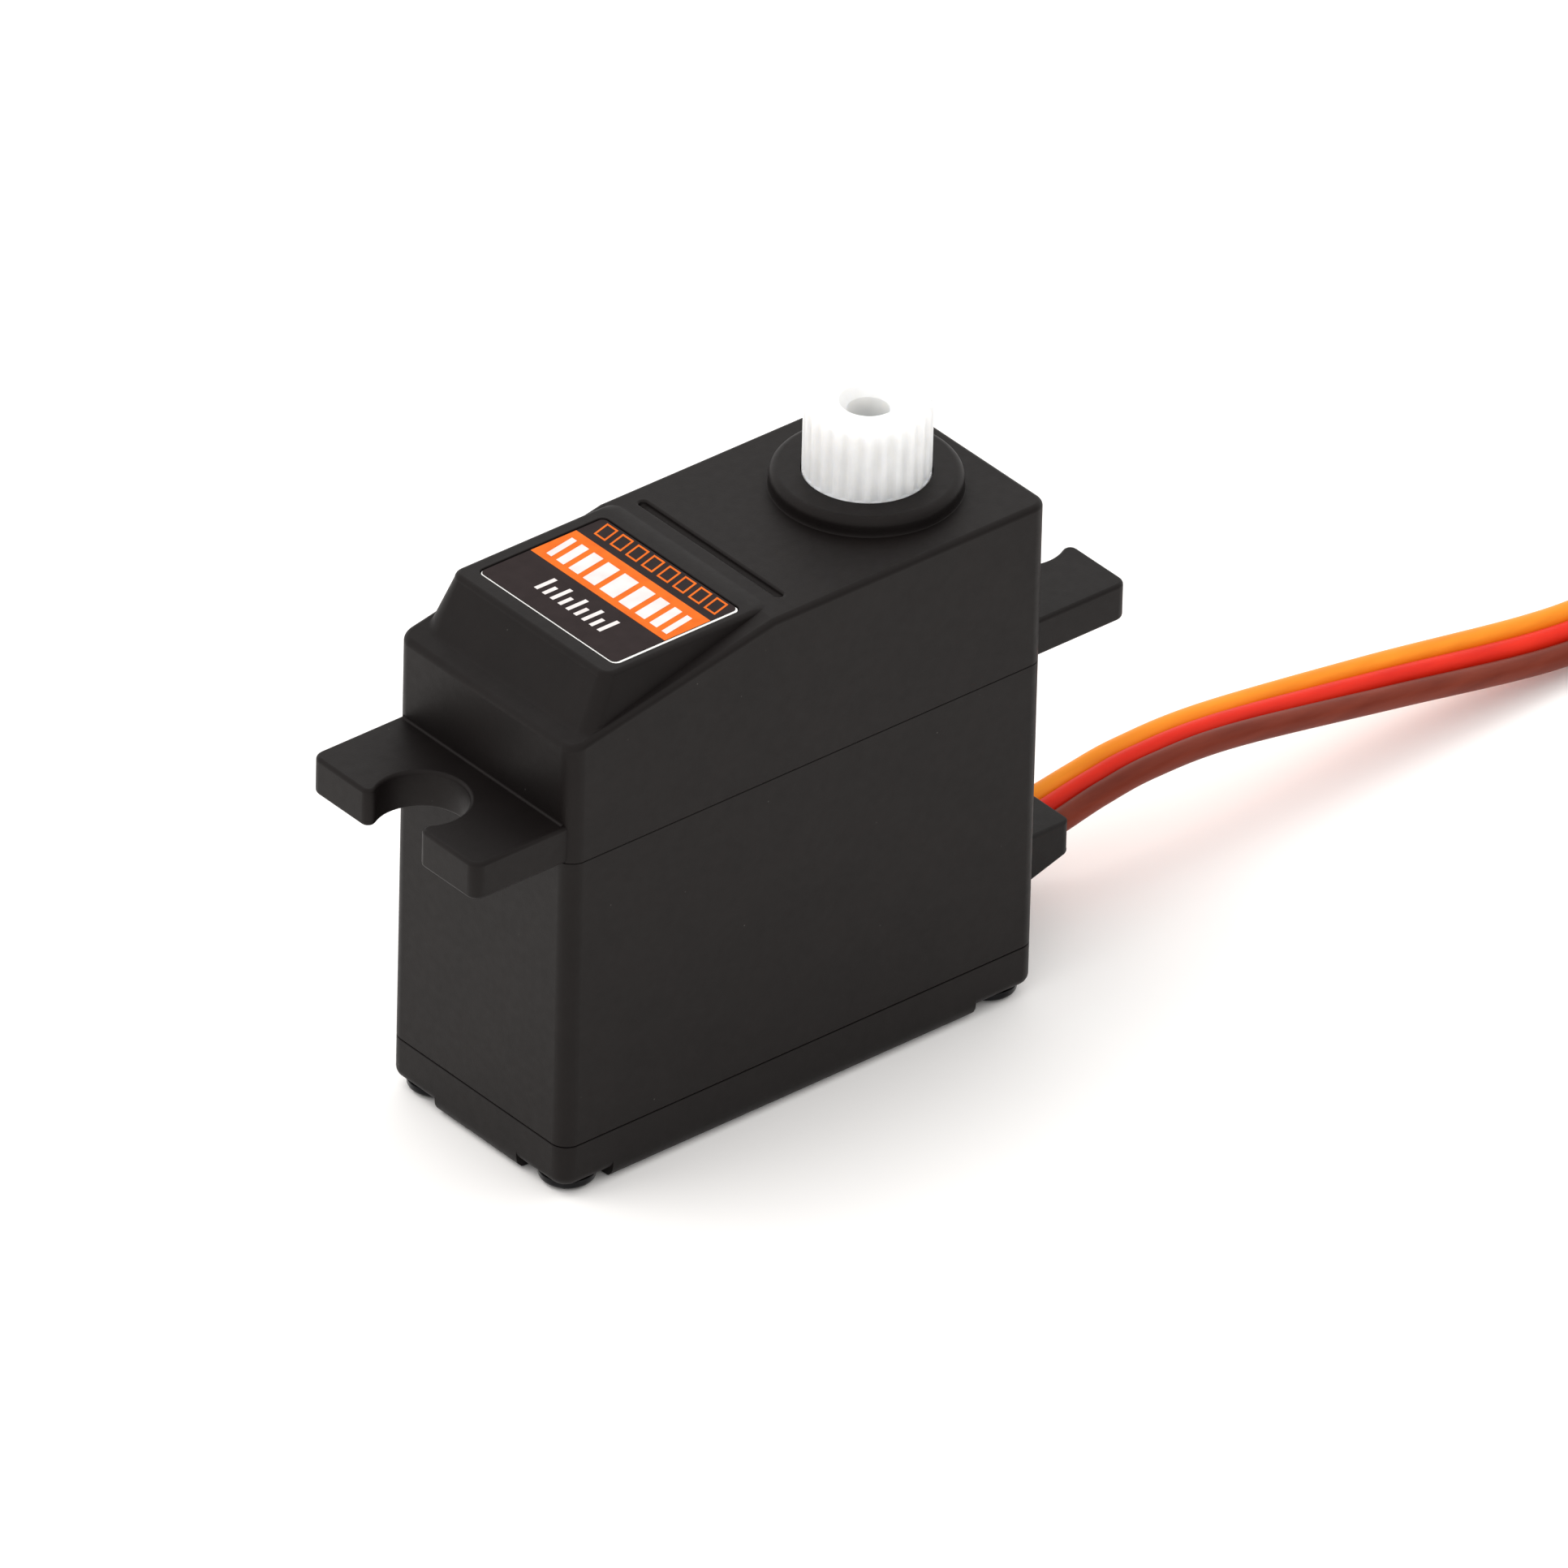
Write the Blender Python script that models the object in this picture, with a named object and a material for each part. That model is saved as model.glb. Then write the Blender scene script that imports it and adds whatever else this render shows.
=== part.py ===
"""Mini servo motor: a geared position drive with a splined output shaft.

The frame has its origin on the output axis at the base plane. +Z runs up along the output
shaft, -X runs towards the motor end of the case and the lead leaves towards +X.
All sizes below are millimetres; objects are made in metres.
"""

import math

import bmesh
import bpy
from mathutils import Vector

MM = 0.001
TURN = 2 * math.pi

# Case outside
CASE_LEFT = -22.58
CASE_RIGHT = 5.72
CASE_HALF_WIDTH = 6.3
CASE_CORNER = 0.85
DECK_Z = 27.0
DECK_EDGE = 0.55
WALL = 1.1
COVER_TOP = 2.80
MIDDLE_BOTTOM = 2.85
MIDDLE_TOP = 18.30
TOP_BOTTOM = 18.36
OPEN_PAST = 1.0

# Mounting lugs
LUG_REACH = 5.25
LUG_HALF_WIDTH = 5.92
LUG_BOTTOM = 18.38
LUG_TOP = 20.35
LUG_CORNER = 0.6
LUG_ROOT = 0.5
NOTCH_RADIUS = 2.5
NOTCH_INSET = 1.3

# Nose: a ramp falling to the motor end, with the raised label pad on it
RAMP_START_X = -10.63
RAMP_END_Z = 24.6
PAD_TOP = 27.1
PAD_FOOT_Z = 24.3
PAD_FOOT = (-21.9, -10.2, -6.2, 6.2)
PAD_FACE = (-19.85, -10.4, -5.3, 5.75)
PAD_CORNER = 0.7
PAD_EDGE = 0.3
LABEL_BOX = (-18.83, -11.33, -4.73, 5.15)
LABEL_CORNER = 0.5
LABEL_DEPTH = 0.16
LABEL_LIFT = 0.03
LABEL_THICKNESS = 0.08
LABEL_GAP = 0.05
GROOVE_BOX = (-9.29, -8.91, -4.9, 5.25)
GROOVE_CORNER = 0.18
GROOVE_DEPTH = 0.3

# Output shaft and its collar
COLLAR_RADIUS = 4.45
COLLAR_TOP = 27.9
COLLAR_EDGE = 0.6
COLLAR_FOOT_Z = 26.5
COLLAR_BORE = 3.05
JOURNAL_RADIUS = 2.99
SPLINE_START = 28.05
SPLINE_TOP = 31.58
SPLINE_TIP = 3.0
SPLINE_ROOT = 2.76
SPLINE_TEETH = 25
HORN_HOLE_RADIUS = 1.0
HORN_HOLE_MOUTH = 1.34
HORN_HOLE_FLOOR = 27.4
HORN_HOLE_TIP = 0.2
SPLINE_CHAMFER = 0.12

# Gear train: five reductions on four parallel axes
MOTOR_X = -16.2
PIN_B_X = -11.2
PIN_A_X = -5.7
OUTPUT_X = 0.0
PINION_TEETH = 10
FIRST_TEETH = 40
SECOND_TEETH = 34
WHEEL_TEETH = 28
FIRST_MODULE = 0.2
SECOND_MODULE = 0.25
WHEEL_MODULE = 0.3
PRESSURE_ANGLE = math.radians(25)
ADDENDUM = 0.85
DEDENDUM = 1.12
BACKLASH = 0.05
LAYERS = ((18.75, 19.95), (20.20, 21.40), (21.65, 22.85), (23.10, 24.30), (24.55, 25.75))
PIN_RADIUS = 0.5
PIN_SEAT = 0.53
PIN_BORE = 0.55
PIN_END_GAP = 0.1
PIN_BOTTOM = 17.35
PIN_A_TOP = 26.4
PIN_B_TOP = 22.8
AXLE_RADIUS = 0.7
AXLE_BORE = 0.76
AXLE_SEAT_RADIUS = 2.0
AXLE_SEAT_TOP = 19.85
HUB_RADIUS = 1.12
FLAT_GAP = 0.05
FLAT_HALF_LENGTH = 0.6
FLAT_HALF_WIDTH = 0.31
FLAT_BOTTOM = 24.0
FLAT_TOP = 26.3
OVERLAP = 0.3

# Inside of the case
INNER_LEFT = CASE_LEFT + WALL
INNER_RIGHT = CASE_RIGHT - WALL
INNER_HALF_WIDTH = CASE_HALF_WIDTH - WALL
PLATE_BOTTOM = 17.2
LOW_CEILING = 21.8
HIGH_CEILING = 26.0
HIGH_BAY_LEFT = -10.5
NOSE_BAY = (-19.2, -12.0, -4.1, 4.1)
NOSE_BAY_TOP = 25.9

# Case screws
SCREW_X = (CASE_LEFT + 1.55, CASE_RIGHT - 1.55)
SCREW_Y = (-4.75, 4.75)
SCREW_RADIUS = 0.8
SCREW_THREAD_FIT = 0.03
SCREW_CLEARANCE = 0.86
SCREW_HEAD_RADIUS = 1.35
SCREW_HEAD_BOTTOM = 0.2
SCREW_TOP = 21.0
SCREW_POINT_LENGTH = 0.8
SCREW_POINT_RADIUS = 0.25
RECESS_HALF_LENGTH = 0.72
RECESS_HALF_WIDTH = 0.13
RECESS_DEPTH = 0.4
BOSS_RADIUS = 1.4
POCKET_SIDE = 3.35
POCKET_CORNER = 0.9
POCKET_DEPTH = 1.0
COVER_FLOOR = 1.15
COVER_EDGE = 0.5

# Motor
CAN_RADIUS = 5.0
CAN_WALL = 0.4
CAN_BOTTOM = 5.6
CAN_TOP = 17.1
CAN_BOSS_RADIUS = 1.5
CAN_BOSS_TOP = 18.2
CAN_BOSS_BORE = 1.0
CAP_RADIUS = 4.55
CAP_BOTTOM = 5.0
CAP_TOP = 6.4
MOTOR_SHAFT_RADIUS = 0.4
MOTOR_SHAFT_BOTTOM = 5.2
PRESS_FIT_GAP = 0.03
RUNNING_GAP = 0.05
BUSHING_RADIUS = 0.96
BUSHING_TOP = 18.15
ARMATURE_BOTTOM = 9.0
ARMATURE_TOP = 14.0
POLE_RADIUS = 3.2
POLE_RIM = 0.6
POLE_HUB = 1.3
POLE_HALF_NECK = 0.45
POLE_SLOT_ANGLE = 0.16
COIL_REACH = (1.5, 2.05)
COIL_HALF_WIDTH = 0.92
COIL_OVERHANG = 0.6
MAGNET_INNER_RADIUS = 3.5
MAGNET_HALF_ANGLE = math.radians(68)
MAGNET_HEIGHT = (7.9, 15.4)
COMMUTATOR_RADIUS = 0.85
COMMUTATOR_HEIGHT = (6.75, 8.2)
TERMINAL_Y = 2.6
TERMINAL_HALF_WIDTH = 0.6
TERMINAL_HALF_THICKNESS = 0.15
TERMINAL_HEIGHT = (4.3, 7.9)
BRUSH_REACH = (1.0, 2.4)
BRUSH_HALF_WIDTH = 0.4
BRUSH_HEIGHT = (7.1, 7.35)

# Potentiometer
POT_RADIUS = 4.2
POT_BOTTOM = 12.2
POT_TOP = 16.6
POT_WALL = 0.6
POT_LID = 0.8
TRACK_HEIGHT = (12.3, 13.0)
WIPER_RADIUS = 2.8
WIPER_HEIGHT = (13.3, 13.8)
AXLE_TOP = 24.5

# Electronics
BOARD_BOTTOM = 1.6
BOARD_TOP = 2.4
BOARD_GAP = 0.15
BOARD_NOTCH = BOSS_RADIUS + 0.35
SOLDER_GAP = 0.04
CHIPS = (
    ("control_chip", -6.2, -1.6, 3.9, 3.9, 0.95),
    ("driver_chip_1", -11.0, -2.6, 2.9, 2.4, 0.9),
    ("driver_chip_2", -11.0, 2.6, 2.9, 2.4, 0.9),
    ("chip_capacitor", -6.4, 2.8, 2.0, 1.25, 0.85),
)
CAPACITOR_X = -1.8
CAPACITOR_Y = 3.1
CAPACITOR_RADIUS = 1.9
CAPACITOR_TOP = 7.4
INNER_WIRE_RADIUS = 0.3
INNER_WIRE_BOTTOM = 2.75

# Lead
WIRE_RADIUS = 0.56
WIRE_PITCH = 1.16
WIRE_EXIT_LOW = 4.05
WIRE_EXIT_HIGH = 4.38
GROMMET_TIP_X = 11.15
GROMMET_TOP = 5.3
GROMMET_HALF_WIDTH = 2.3
GROMMET_UNDERSIDE = (1.9, 3.55)
GROMMET_NECK_BOTTOM = 2.95
GROMMET_FLANGE_HALF_WIDTH = 2.6
GROMMET_GAP = 0.06
LEAD_PATH = (
    (0.6, 2.98),
    (2.4, 3.75),
    (5.0, WIRE_EXIT_LOW),
    (8.5, 4.1),
    (11.0, WIRE_EXIT_HIGH),
    (14.0, 4.9),
    (17.0, 5.2),
    (22.0, 4.97),
    (32.0, 3.34),
    (42.0, 1.57),
    (48.0, 1.3),
    (58.5, 1.3),
    (64.0, 1.3),
)
LEAD_ROLL = ((8.5, 0.0), (14.0, -6.0), (40.0, 14.0), (54.0, 0.0))
PLUG_START = 61.0
PLUG_LENGTH = 14.0
PLUG_HALF_WIDTH = 3.85
PLUG_HEIGHT = 2.55
PLUG_BOTTOM = 0.03
PLUG_CORNER = 0.3
PLUG_PITCH = 2.54
SOCKET_HALF = 0.85
CONTACT_HALF = 0.7
CONTACT_BORE_HALF = 0.4
CONTACT_LENGTH = 8.4
CONTACT_BORE_LENGTH = 5.4
CONTACT_SETBACK = 0.6
FAN_START = 54.0
FAN_END = 60.5


# ---------------------------------------------------------------- scene and materials


def clear_scene():
    for old in list(bpy.data.objects):
        bpy.data.objects.remove(old, do_unlink=True)


def finish(name, colour, roughness, metallic=0.0):
    """A Principled material in one colour."""
    made = bpy.data.materials.new(name)
    made.use_nodes = True
    shader = made.node_tree.nodes["Principled BSDF"]
    shader.inputs["Base Color"].default_value = (*colour, 1.0)
    shader.inputs["Roughness"].default_value = roughness
    shader.inputs["Metallic"].default_value = metallic
    made.diffuse_color = (*colour, 1.0)
    return made


# ---------------------------------------------------------------- outlines


def arc(centre_x, centre_y, radius, start, end, steps):
    """Points along an arc, both ends included; angles in radians."""
    points = []
    for i in range(steps + 1):
        angle = start + (end - start) * i / steps
        points.append((centre_x + radius * math.cos(angle), centre_y + radius * math.sin(angle)))
    return points


def circle(centre_x, centre_y, radius, steps):
    return arc(centre_x, centre_y, radius, 0, TURN * (steps - 1) / steps, steps - 1)


def rounded_rectangle(x0, x1, y0, y1, radius, steps=3):
    quarter = math.pi / 2
    corners = (
        (x1 - radius, y1 - radius, 0),
        (x0 + radius, y1 - radius, 1),
        (x0 + radius, y0 + radius, 2),
        (x1 - radius, y0 + radius, 3),
    )
    points = []
    for x, y, turn in corners:
        points += arc(x, y, radius, turn * quarter, (turn + 1) * quarter, steps)
    return points


def rectangle(x0, x1, y0, y1):
    return [(x1, y1), (x0, y1), (x0, y0), (x1, y0)]


def case_outline(inset=0.0):
    return rounded_rectangle(
        CASE_LEFT + inset,
        CASE_RIGHT - inset,
        -CASE_HALF_WIDTH + inset,
        CASE_HALF_WIDTH - inset,
        CASE_CORNER - 0.6 * inset,
    )


def gear_outline(teeth, module, tooth_angle, flank_points=2):
    """An external gear with involute flanks and one tooth centred on tooth_angle."""
    pitch_radius = module * teeth / 2
    base_radius = pitch_radius * math.cos(PRESSURE_ANGLE)
    root_radius = pitch_radius - DEDENDUM * module
    tip_radius = pitch_radius + ADDENDUM * module
    flank_start = max(base_radius, root_radius)
    half_at_pitch = math.pi / 2 / teeth - BACKLASH / 2 / pitch_radius

    def involute(angle):
        return math.tan(angle) - angle

    def half_tooth(radius):
        return half_at_pitch + involute(PRESSURE_ANGLE) - involute(math.acos(base_radius / radius))

    flank = [(root_radius, half_tooth(flank_start))]
    for i in range(1, flank_points):
        radius = flank_start + (tip_radius - flank_start) * i / (flank_points - 1)
        flank.append((radius, half_tooth(radius)))
    points = []
    for tooth in range(teeth):
        centre = tooth_angle + TURN * tooth / teeth
        sides = [(radius, centre - half) for radius, half in flank]
        sides += [(radius, centre + half) for radius, half in reversed(flank)]
        points += [(radius * math.cos(a), radius * math.sin(a)) for radius, a in sides]
    return points


def spline_outline(tip_radius, root_radius):
    """Straight-sided spline teeth, one centred on +X."""
    points = []
    for tooth in range(SPLINE_TEETH):
        centre = TURN * tooth / SPLINE_TEETH
        pitch = TURN / SPLINE_TEETH
        for radius, part in ((root_radius, -0.34), (tip_radius, -0.17)):
            angle = centre + part * pitch
            points.append((radius * math.cos(angle), radius * math.sin(angle)))
        for radius, part in ((tip_radius, 0.17), (root_radius, 0.34)):
            angle = centre + part * pitch
            points.append((radius * math.cos(angle), radius * math.sin(angle)))
    return points


# ---------------------------------------------------------------- solids


def skin(loops, closed_ends=True):
    """A mesh through loops of 3-D points that all have the same count, in millimetres."""
    mesh = bmesh.new()
    rings = [[mesh.verts.new(point) for point in loop] for loop in loops]
    count = len(rings[0])
    pairs = list(zip(rings, rings[1:]))
    if closed_ends:
        mesh.faces.new(rings[0])
        mesh.faces.new(rings[-1])
    else:
        pairs.append((rings[-1], rings[0]))
    for lower, upper in pairs:
        for i in range(count):
            j = (i + 1) % count
            mesh.faces.new((lower[i], lower[j], upper[j], upper[i]))
    bmesh.ops.recalc_face_normals(mesh, faces=mesh.faces)
    return mesh


def upright(sections):
    """A solid through horizontal outlines, each given as (outline, z)."""
    return skin([[(x, y, z) for x, y in outline] for outline, z in sections])


def prism(outline, z0, z1):
    return upright([(outline, z0), (outline, z1)])


def box(x0, x1, y0, y1, z0, z1):
    return prism(rectangle(x0, x1, y0, y1), z0, z1)


def lying_prism(outline, y0, y1):
    """An outline of (x, z) points drawn out along Y."""
    return skin([[(x, y, z) for x, z in outline] for y in (y0, y1)])


def turned(profile, centre_x=0.0, centre_y=0.0, steps=28):
    """A solid of revolution from (radius, z) pairs, bottom to top."""
    return upright([(circle(centre_x, centre_y, radius, steps), z) for radius, z in profile])


def cylinder(x, y, radius, z0, z1, steps=20):
    return turned([(radius, z0), (radius, z1)], x, y, steps)


def solid(name, mesh, material, origin=(0.0, 0.0, 0.0), sharp_degrees=32):
    """An object from a mesh in millimetres, with its origin where the piece turns or stands."""
    bmesh.ops.translate(mesh, verts=mesh.verts, vec=[-c for c in origin])
    bmesh.ops.scale(mesh, verts=mesh.verts, vec=(MM, MM, MM))
    data = bpy.data.meshes.new(name)
    mesh.to_mesh(data)
    mesh.free()
    data.materials.append(material)
    data.shade_smooth()
    data.set_sharp_from_angle(angle=math.radians(sharp_degrees))
    made = bpy.data.objects.new(name, data)
    made.location = [c * MM for c in origin]
    bpy.context.collection.objects.link(made)
    return made


def combine(target, mesh, operation):
    """Apply one Boolean to target and discard the tool."""
    tool = solid("tool", mesh, target.data.materials[0])
    modifier = target.modifiers.new(operation, "BOOLEAN")
    modifier.operation = operation
    modifier.solver = "EXACT"
    modifier.object = tool
    bpy.context.view_layer.update()
    graph = bpy.context.evaluated_depsgraph_get()
    result = bpy.data.meshes.new_from_object(target.evaluated_get(graph))
    target.modifiers.clear()
    target.data = result
    bpy.data.objects.remove(tool, do_unlink=True)


def cut(target, *tools):
    for tool in tools:
        combine(target, tool, "DIFFERENCE")


def join(target, *tools):
    for tool in tools:
        combine(target, tool, "UNION")


def screw_places():
    return [(x, y) for x in SCREW_X for y in SCREW_Y]


# ---------------------------------------------------------------- case


def edge_sections(z_edge, size, direction, steps=2):
    """Sections of the case outline round an edge, from the full outline to the inset one."""
    sections = []
    for i in range(steps + 1):
        angle = math.pi / 2 * i / steps
        inset = size * (1 - math.cos(angle))
        z = z_edge - direction * size * (1 - math.sin(angle))
        sections.append((case_outline(inset), z))
    return sections


def lug(side_x, outward):
    """One lug with its open round notch; outward is -1 at the motor end and +1 at the other."""
    tip = side_x + outward * LUG_REACH
    root = side_x - outward * LUG_ROOT
    x0, x1 = sorted((tip, root))
    plate = rounded_rectangle(x0, x1, -LUG_HALF_WIDTH, LUG_HALF_WIDTH, LUG_CORNER, steps=2)
    notch_x = tip - outward * NOTCH_INSET
    notch = cylinder(notch_x, 0, NOTCH_RADIUS, LUG_BOTTOM - OPEN_PAST, LUG_TOP + OPEN_PAST, 28)
    return prism(plate, LUG_BOTTOM, LUG_TOP), notch


def label_pad():
    """The raised pad that carries the label, on sloping sides."""
    edge = PAD_EDGE
    x0, x1, y0, y1 = PAD_FACE
    inner = rounded_rectangle(x0 + edge, x1 - edge, y0 + edge, y1 - edge, PAD_CORNER - edge)
    return upright(
        [
            (rounded_rectangle(*PAD_FOOT, PAD_CORNER), PAD_FOOT_Z),
            (rounded_rectangle(*PAD_FACE, PAD_CORNER), PAD_TOP - edge),
            (inner, PAD_TOP),
        ]
    )


def ramp_cutter():
    outside = CASE_LEFT - OPEN_PAST
    slope = (DECK_Z - RAMP_END_Z) / (RAMP_START_X - CASE_LEFT)
    top = DECK_Z + OPEN_PAST
    outline = [
        (outside, RAMP_END_Z - slope * OPEN_PAST),
        (RAMP_START_X + OPEN_PAST, DECK_Z + slope * OPEN_PAST),
        (RAMP_START_X + OPEN_PAST, top),
        (outside, top),
    ]
    reach = CASE_HALF_WIDTH + OPEN_PAST
    return lying_prism(outline, -reach, reach)


def collar():
    shoulder = 0.3 * COLLAR_EDGE
    profile = [
        (COLLAR_RADIUS, COLLAR_FOOT_Z),
        (COLLAR_RADIUS, COLLAR_TOP - COLLAR_EDGE),
        (COLLAR_RADIUS - shoulder, COLLAR_TOP - shoulder),
        (COLLAR_RADIUS - COLLAR_EDGE, COLLAR_TOP),
    ]
    return turned(profile, steps=36)


def top_case(material):
    sections = [(case_outline(), TOP_BOTTOM)] + edge_sections(DECK_Z, DECK_EDGE, 1)
    shell = solid("top_case", upright(sections), material)
    cut(shell, ramp_cutter())
    join(shell, label_pad())
    join(shell, collar())
    for side_x, outward in ((CASE_LEFT, -1), (CASE_RIGHT, 1)):
        plate, notch = lug(side_x, outward)
        join(shell, plate)
        cut(shell, notch)
    low = TOP_BOTTOM - OPEN_PAST
    cut(
        shell,
        box(INNER_LEFT, INNER_RIGHT, -INNER_HALF_WIDTH, INNER_HALF_WIDTH, low, LOW_CEILING),
        box(HIGH_BAY_LEFT, INNER_RIGHT, -INNER_HALF_WIDTH, INNER_HALF_WIDTH, low, HIGH_CEILING),
        box(*NOSE_BAY, low, NOSE_BAY_TOP),
        cylinder(OUTPUT_X, 0, COLLAR_BORE, HIGH_CEILING - OPEN_PAST, COLLAR_TOP + OPEN_PAST, 32),
    )
    for x, y in screw_places():
        join(shell, cylinder(x, y, BOSS_RADIUS, TOP_BOTTOM, LOW_CEILING + OVERLAP))
        thread = SCREW_RADIUS + SCREW_THREAD_FIT
        cut(shell, cylinder(x, y, thread, low, SCREW_TOP + OVERLAP, 12))
    cut(
        shell,
        cylinder(PIN_B_X, 0, PIN_SEAT, LOW_CEILING - OPEN_PAST, PIN_B_TOP + PIN_END_GAP, 12),
        cylinder(PIN_A_X, 0, PIN_SEAT, HIGH_CEILING - OPEN_PAST, PIN_A_TOP + PIN_END_GAP, 12),
        prism(
            rounded_rectangle(*LABEL_BOX, LABEL_CORNER, steps=2),
            PAD_TOP - LABEL_DEPTH,
            PAD_TOP + OPEN_PAST,
        ),
        prism(
            rounded_rectangle(*GROOVE_BOX, GROOVE_CORNER, steps=2),
            DECK_Z - GROOVE_DEPTH,
            PAD_TOP + OPEN_PAST,
        ),
    )
    return shell


def middle_case(material):
    shell = solid("middle_case", prism(case_outline(), MIDDLE_BOTTOM, MIDDLE_TOP), material)
    low = MIDDLE_BOTTOM - OPEN_PAST
    inner = box(INNER_LEFT, INNER_RIGHT, -INNER_HALF_WIDTH, INNER_HALF_WIDTH, low, PLATE_BOTTOM)
    cut(shell, inner)
    for x, y in screw_places():
        join(shell, cylinder(x, y, BOSS_RADIUS, MIDDLE_BOTTOM, PLATE_BOTTOM + OVERLAP))
        cut(shell, cylinder(x, y, SCREW_CLEARANCE, low, MIDDLE_TOP + OPEN_PAST, 12))
    join(shell, cylinder(OUTPUT_X, 0, AXLE_SEAT_RADIUS, PLATE_BOTTOM + OVERLAP, AXLE_SEAT_TOP))
    below, above = PLATE_BOTTOM - OPEN_PAST, AXLE_SEAT_TOP + OPEN_PAST
    pin_floor = PIN_BOTTOM - RUNNING_GAP
    slot_half, slot_top = GROMMET_HALF_WIDTH, GROMMET_TOP + 2 * GROMMET_GAP
    cut(
        shell,
        cylinder(MOTOR_X, 0, CAN_BOSS_RADIUS + RUNNING_GAP, below, above),
        cylinder(PIN_B_X, 0, PIN_SEAT, pin_floor, above, 12),
        cylinder(PIN_A_X, 0, PIN_SEAT, pin_floor, above, 12),
        cylinder(OUTPUT_X, 0, AXLE_BORE, below, above, 16),
        box(INNER_RIGHT - OVERLAP, CASE_RIGHT + OPEN_PAST, -slot_half, slot_half, low, slot_top),
    )
    return shell


def bottom_cover(material):
    sections = list(reversed(edge_sections(0.0, COVER_EDGE, -1)))
    sections.append((case_outline(), COVER_TOP))
    shell = solid("bottom_cover", upright(sections), material)
    high = COVER_TOP + OPEN_PAST
    cut(
        shell,
        box(INNER_LEFT, INNER_RIGHT, -INNER_HALF_WIDTH, INNER_HALF_WIDTH, COVER_FLOOR, high),
    )
    for x, y in screw_places():
        out_x = math.copysign(1, x - (CASE_LEFT + CASE_RIGHT) / 2)
        out_y = math.copysign(1, y)
        edge_x = CASE_RIGHT if out_x > 0 else CASE_LEFT
        x0, x1 = sorted((edge_x - out_x * POCKET_SIDE, edge_x + out_x * OPEN_PAST))
        y0, y1 = sorted(
            (out_y * (CASE_HALF_WIDTH - POCKET_SIDE), out_y * (CASE_HALF_WIDTH + OPEN_PAST))
        )
        join(shell, cylinder(x, y, BOSS_RADIUS, COVER_FLOOR - OVERLAP, COVER_TOP))
        pocket = rounded_rectangle(x0, x1, y0, y1, POCKET_CORNER)
        cut(shell, prism(pocket, -OPEN_PAST, POCKET_DEPTH))
        cut(shell, cylinder(x, y, SCREW_CLEARANCE, -OPEN_PAST, high, 12))
    return shell


def case_screw(name, x, y, material):
    """A long pan-head screw, head down, with a cross recess."""
    rim, head, half_head = SCREW_HEAD_BOTTOM, SCREW_HEAD_RADIUS, SCREW_HEAD_RADIUS / 2
    seat = POCKET_DEPTH - SCREW_THREAD_FIT
    crown = 0.42
    profile = [
        (half_head, rim),
        (0.85 * head, rim + crown / 3),
        (head, rim + crown),
        (head, seat),
        (SCREW_RADIUS, seat + 0.01),
        (SCREW_RADIUS, SCREW_TOP - SCREW_POINT_LENGTH),
        (SCREW_POINT_RADIUS, SCREW_TOP),
    ]
    screw = solid(name, turned(profile, x, y, 16), material, origin=(x, y, 0))
    long, narrow = RECESS_HALF_LENGTH, RECESS_HALF_WIDTH
    low, high = rim - OPEN_PAST, rim + RECESS_DEPTH
    for along_x, along_y in ((long, narrow), (narrow, long)):
        cut(screw, box(x - along_x, x + along_x, y - along_y, y + along_y, low, high))
    return screw


def label(material):
    x0, x1, y0, y1 = LABEL_BOX
    gap = LABEL_GAP
    outline = rounded_rectangle(x0 + gap, x1 - gap, y0 + gap, y1 - gap, LABEL_CORNER - gap, 2)
    base = PAD_TOP - LABEL_DEPTH + LABEL_LIFT
    return solid("label", prism(outline, base, base + LABEL_THICKNESS), material)


# ---------------------------------------------------------------- gears and pins


def placed(outline, x):
    return [(px + x, py) for px, py in outline]


def compound_gear(name, x, layer, wheel, pinion, bore, material):
    """A wheel in one layer with a pinion above it that reaches into the next layer."""
    bottom, face = LAYERS[layer]
    top = LAYERS[layer + 1][1]
    gear = solid(name, prism(placed(wheel, x), bottom, face), material, origin=(x, 0, 0))
    join(gear, prism(placed(pinion, x), face - OVERLAP, top))
    cut(gear, cylinder(x, 0, bore, bottom - OPEN_PAST, top + OPEN_PAST, 16))
    return gear


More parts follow.
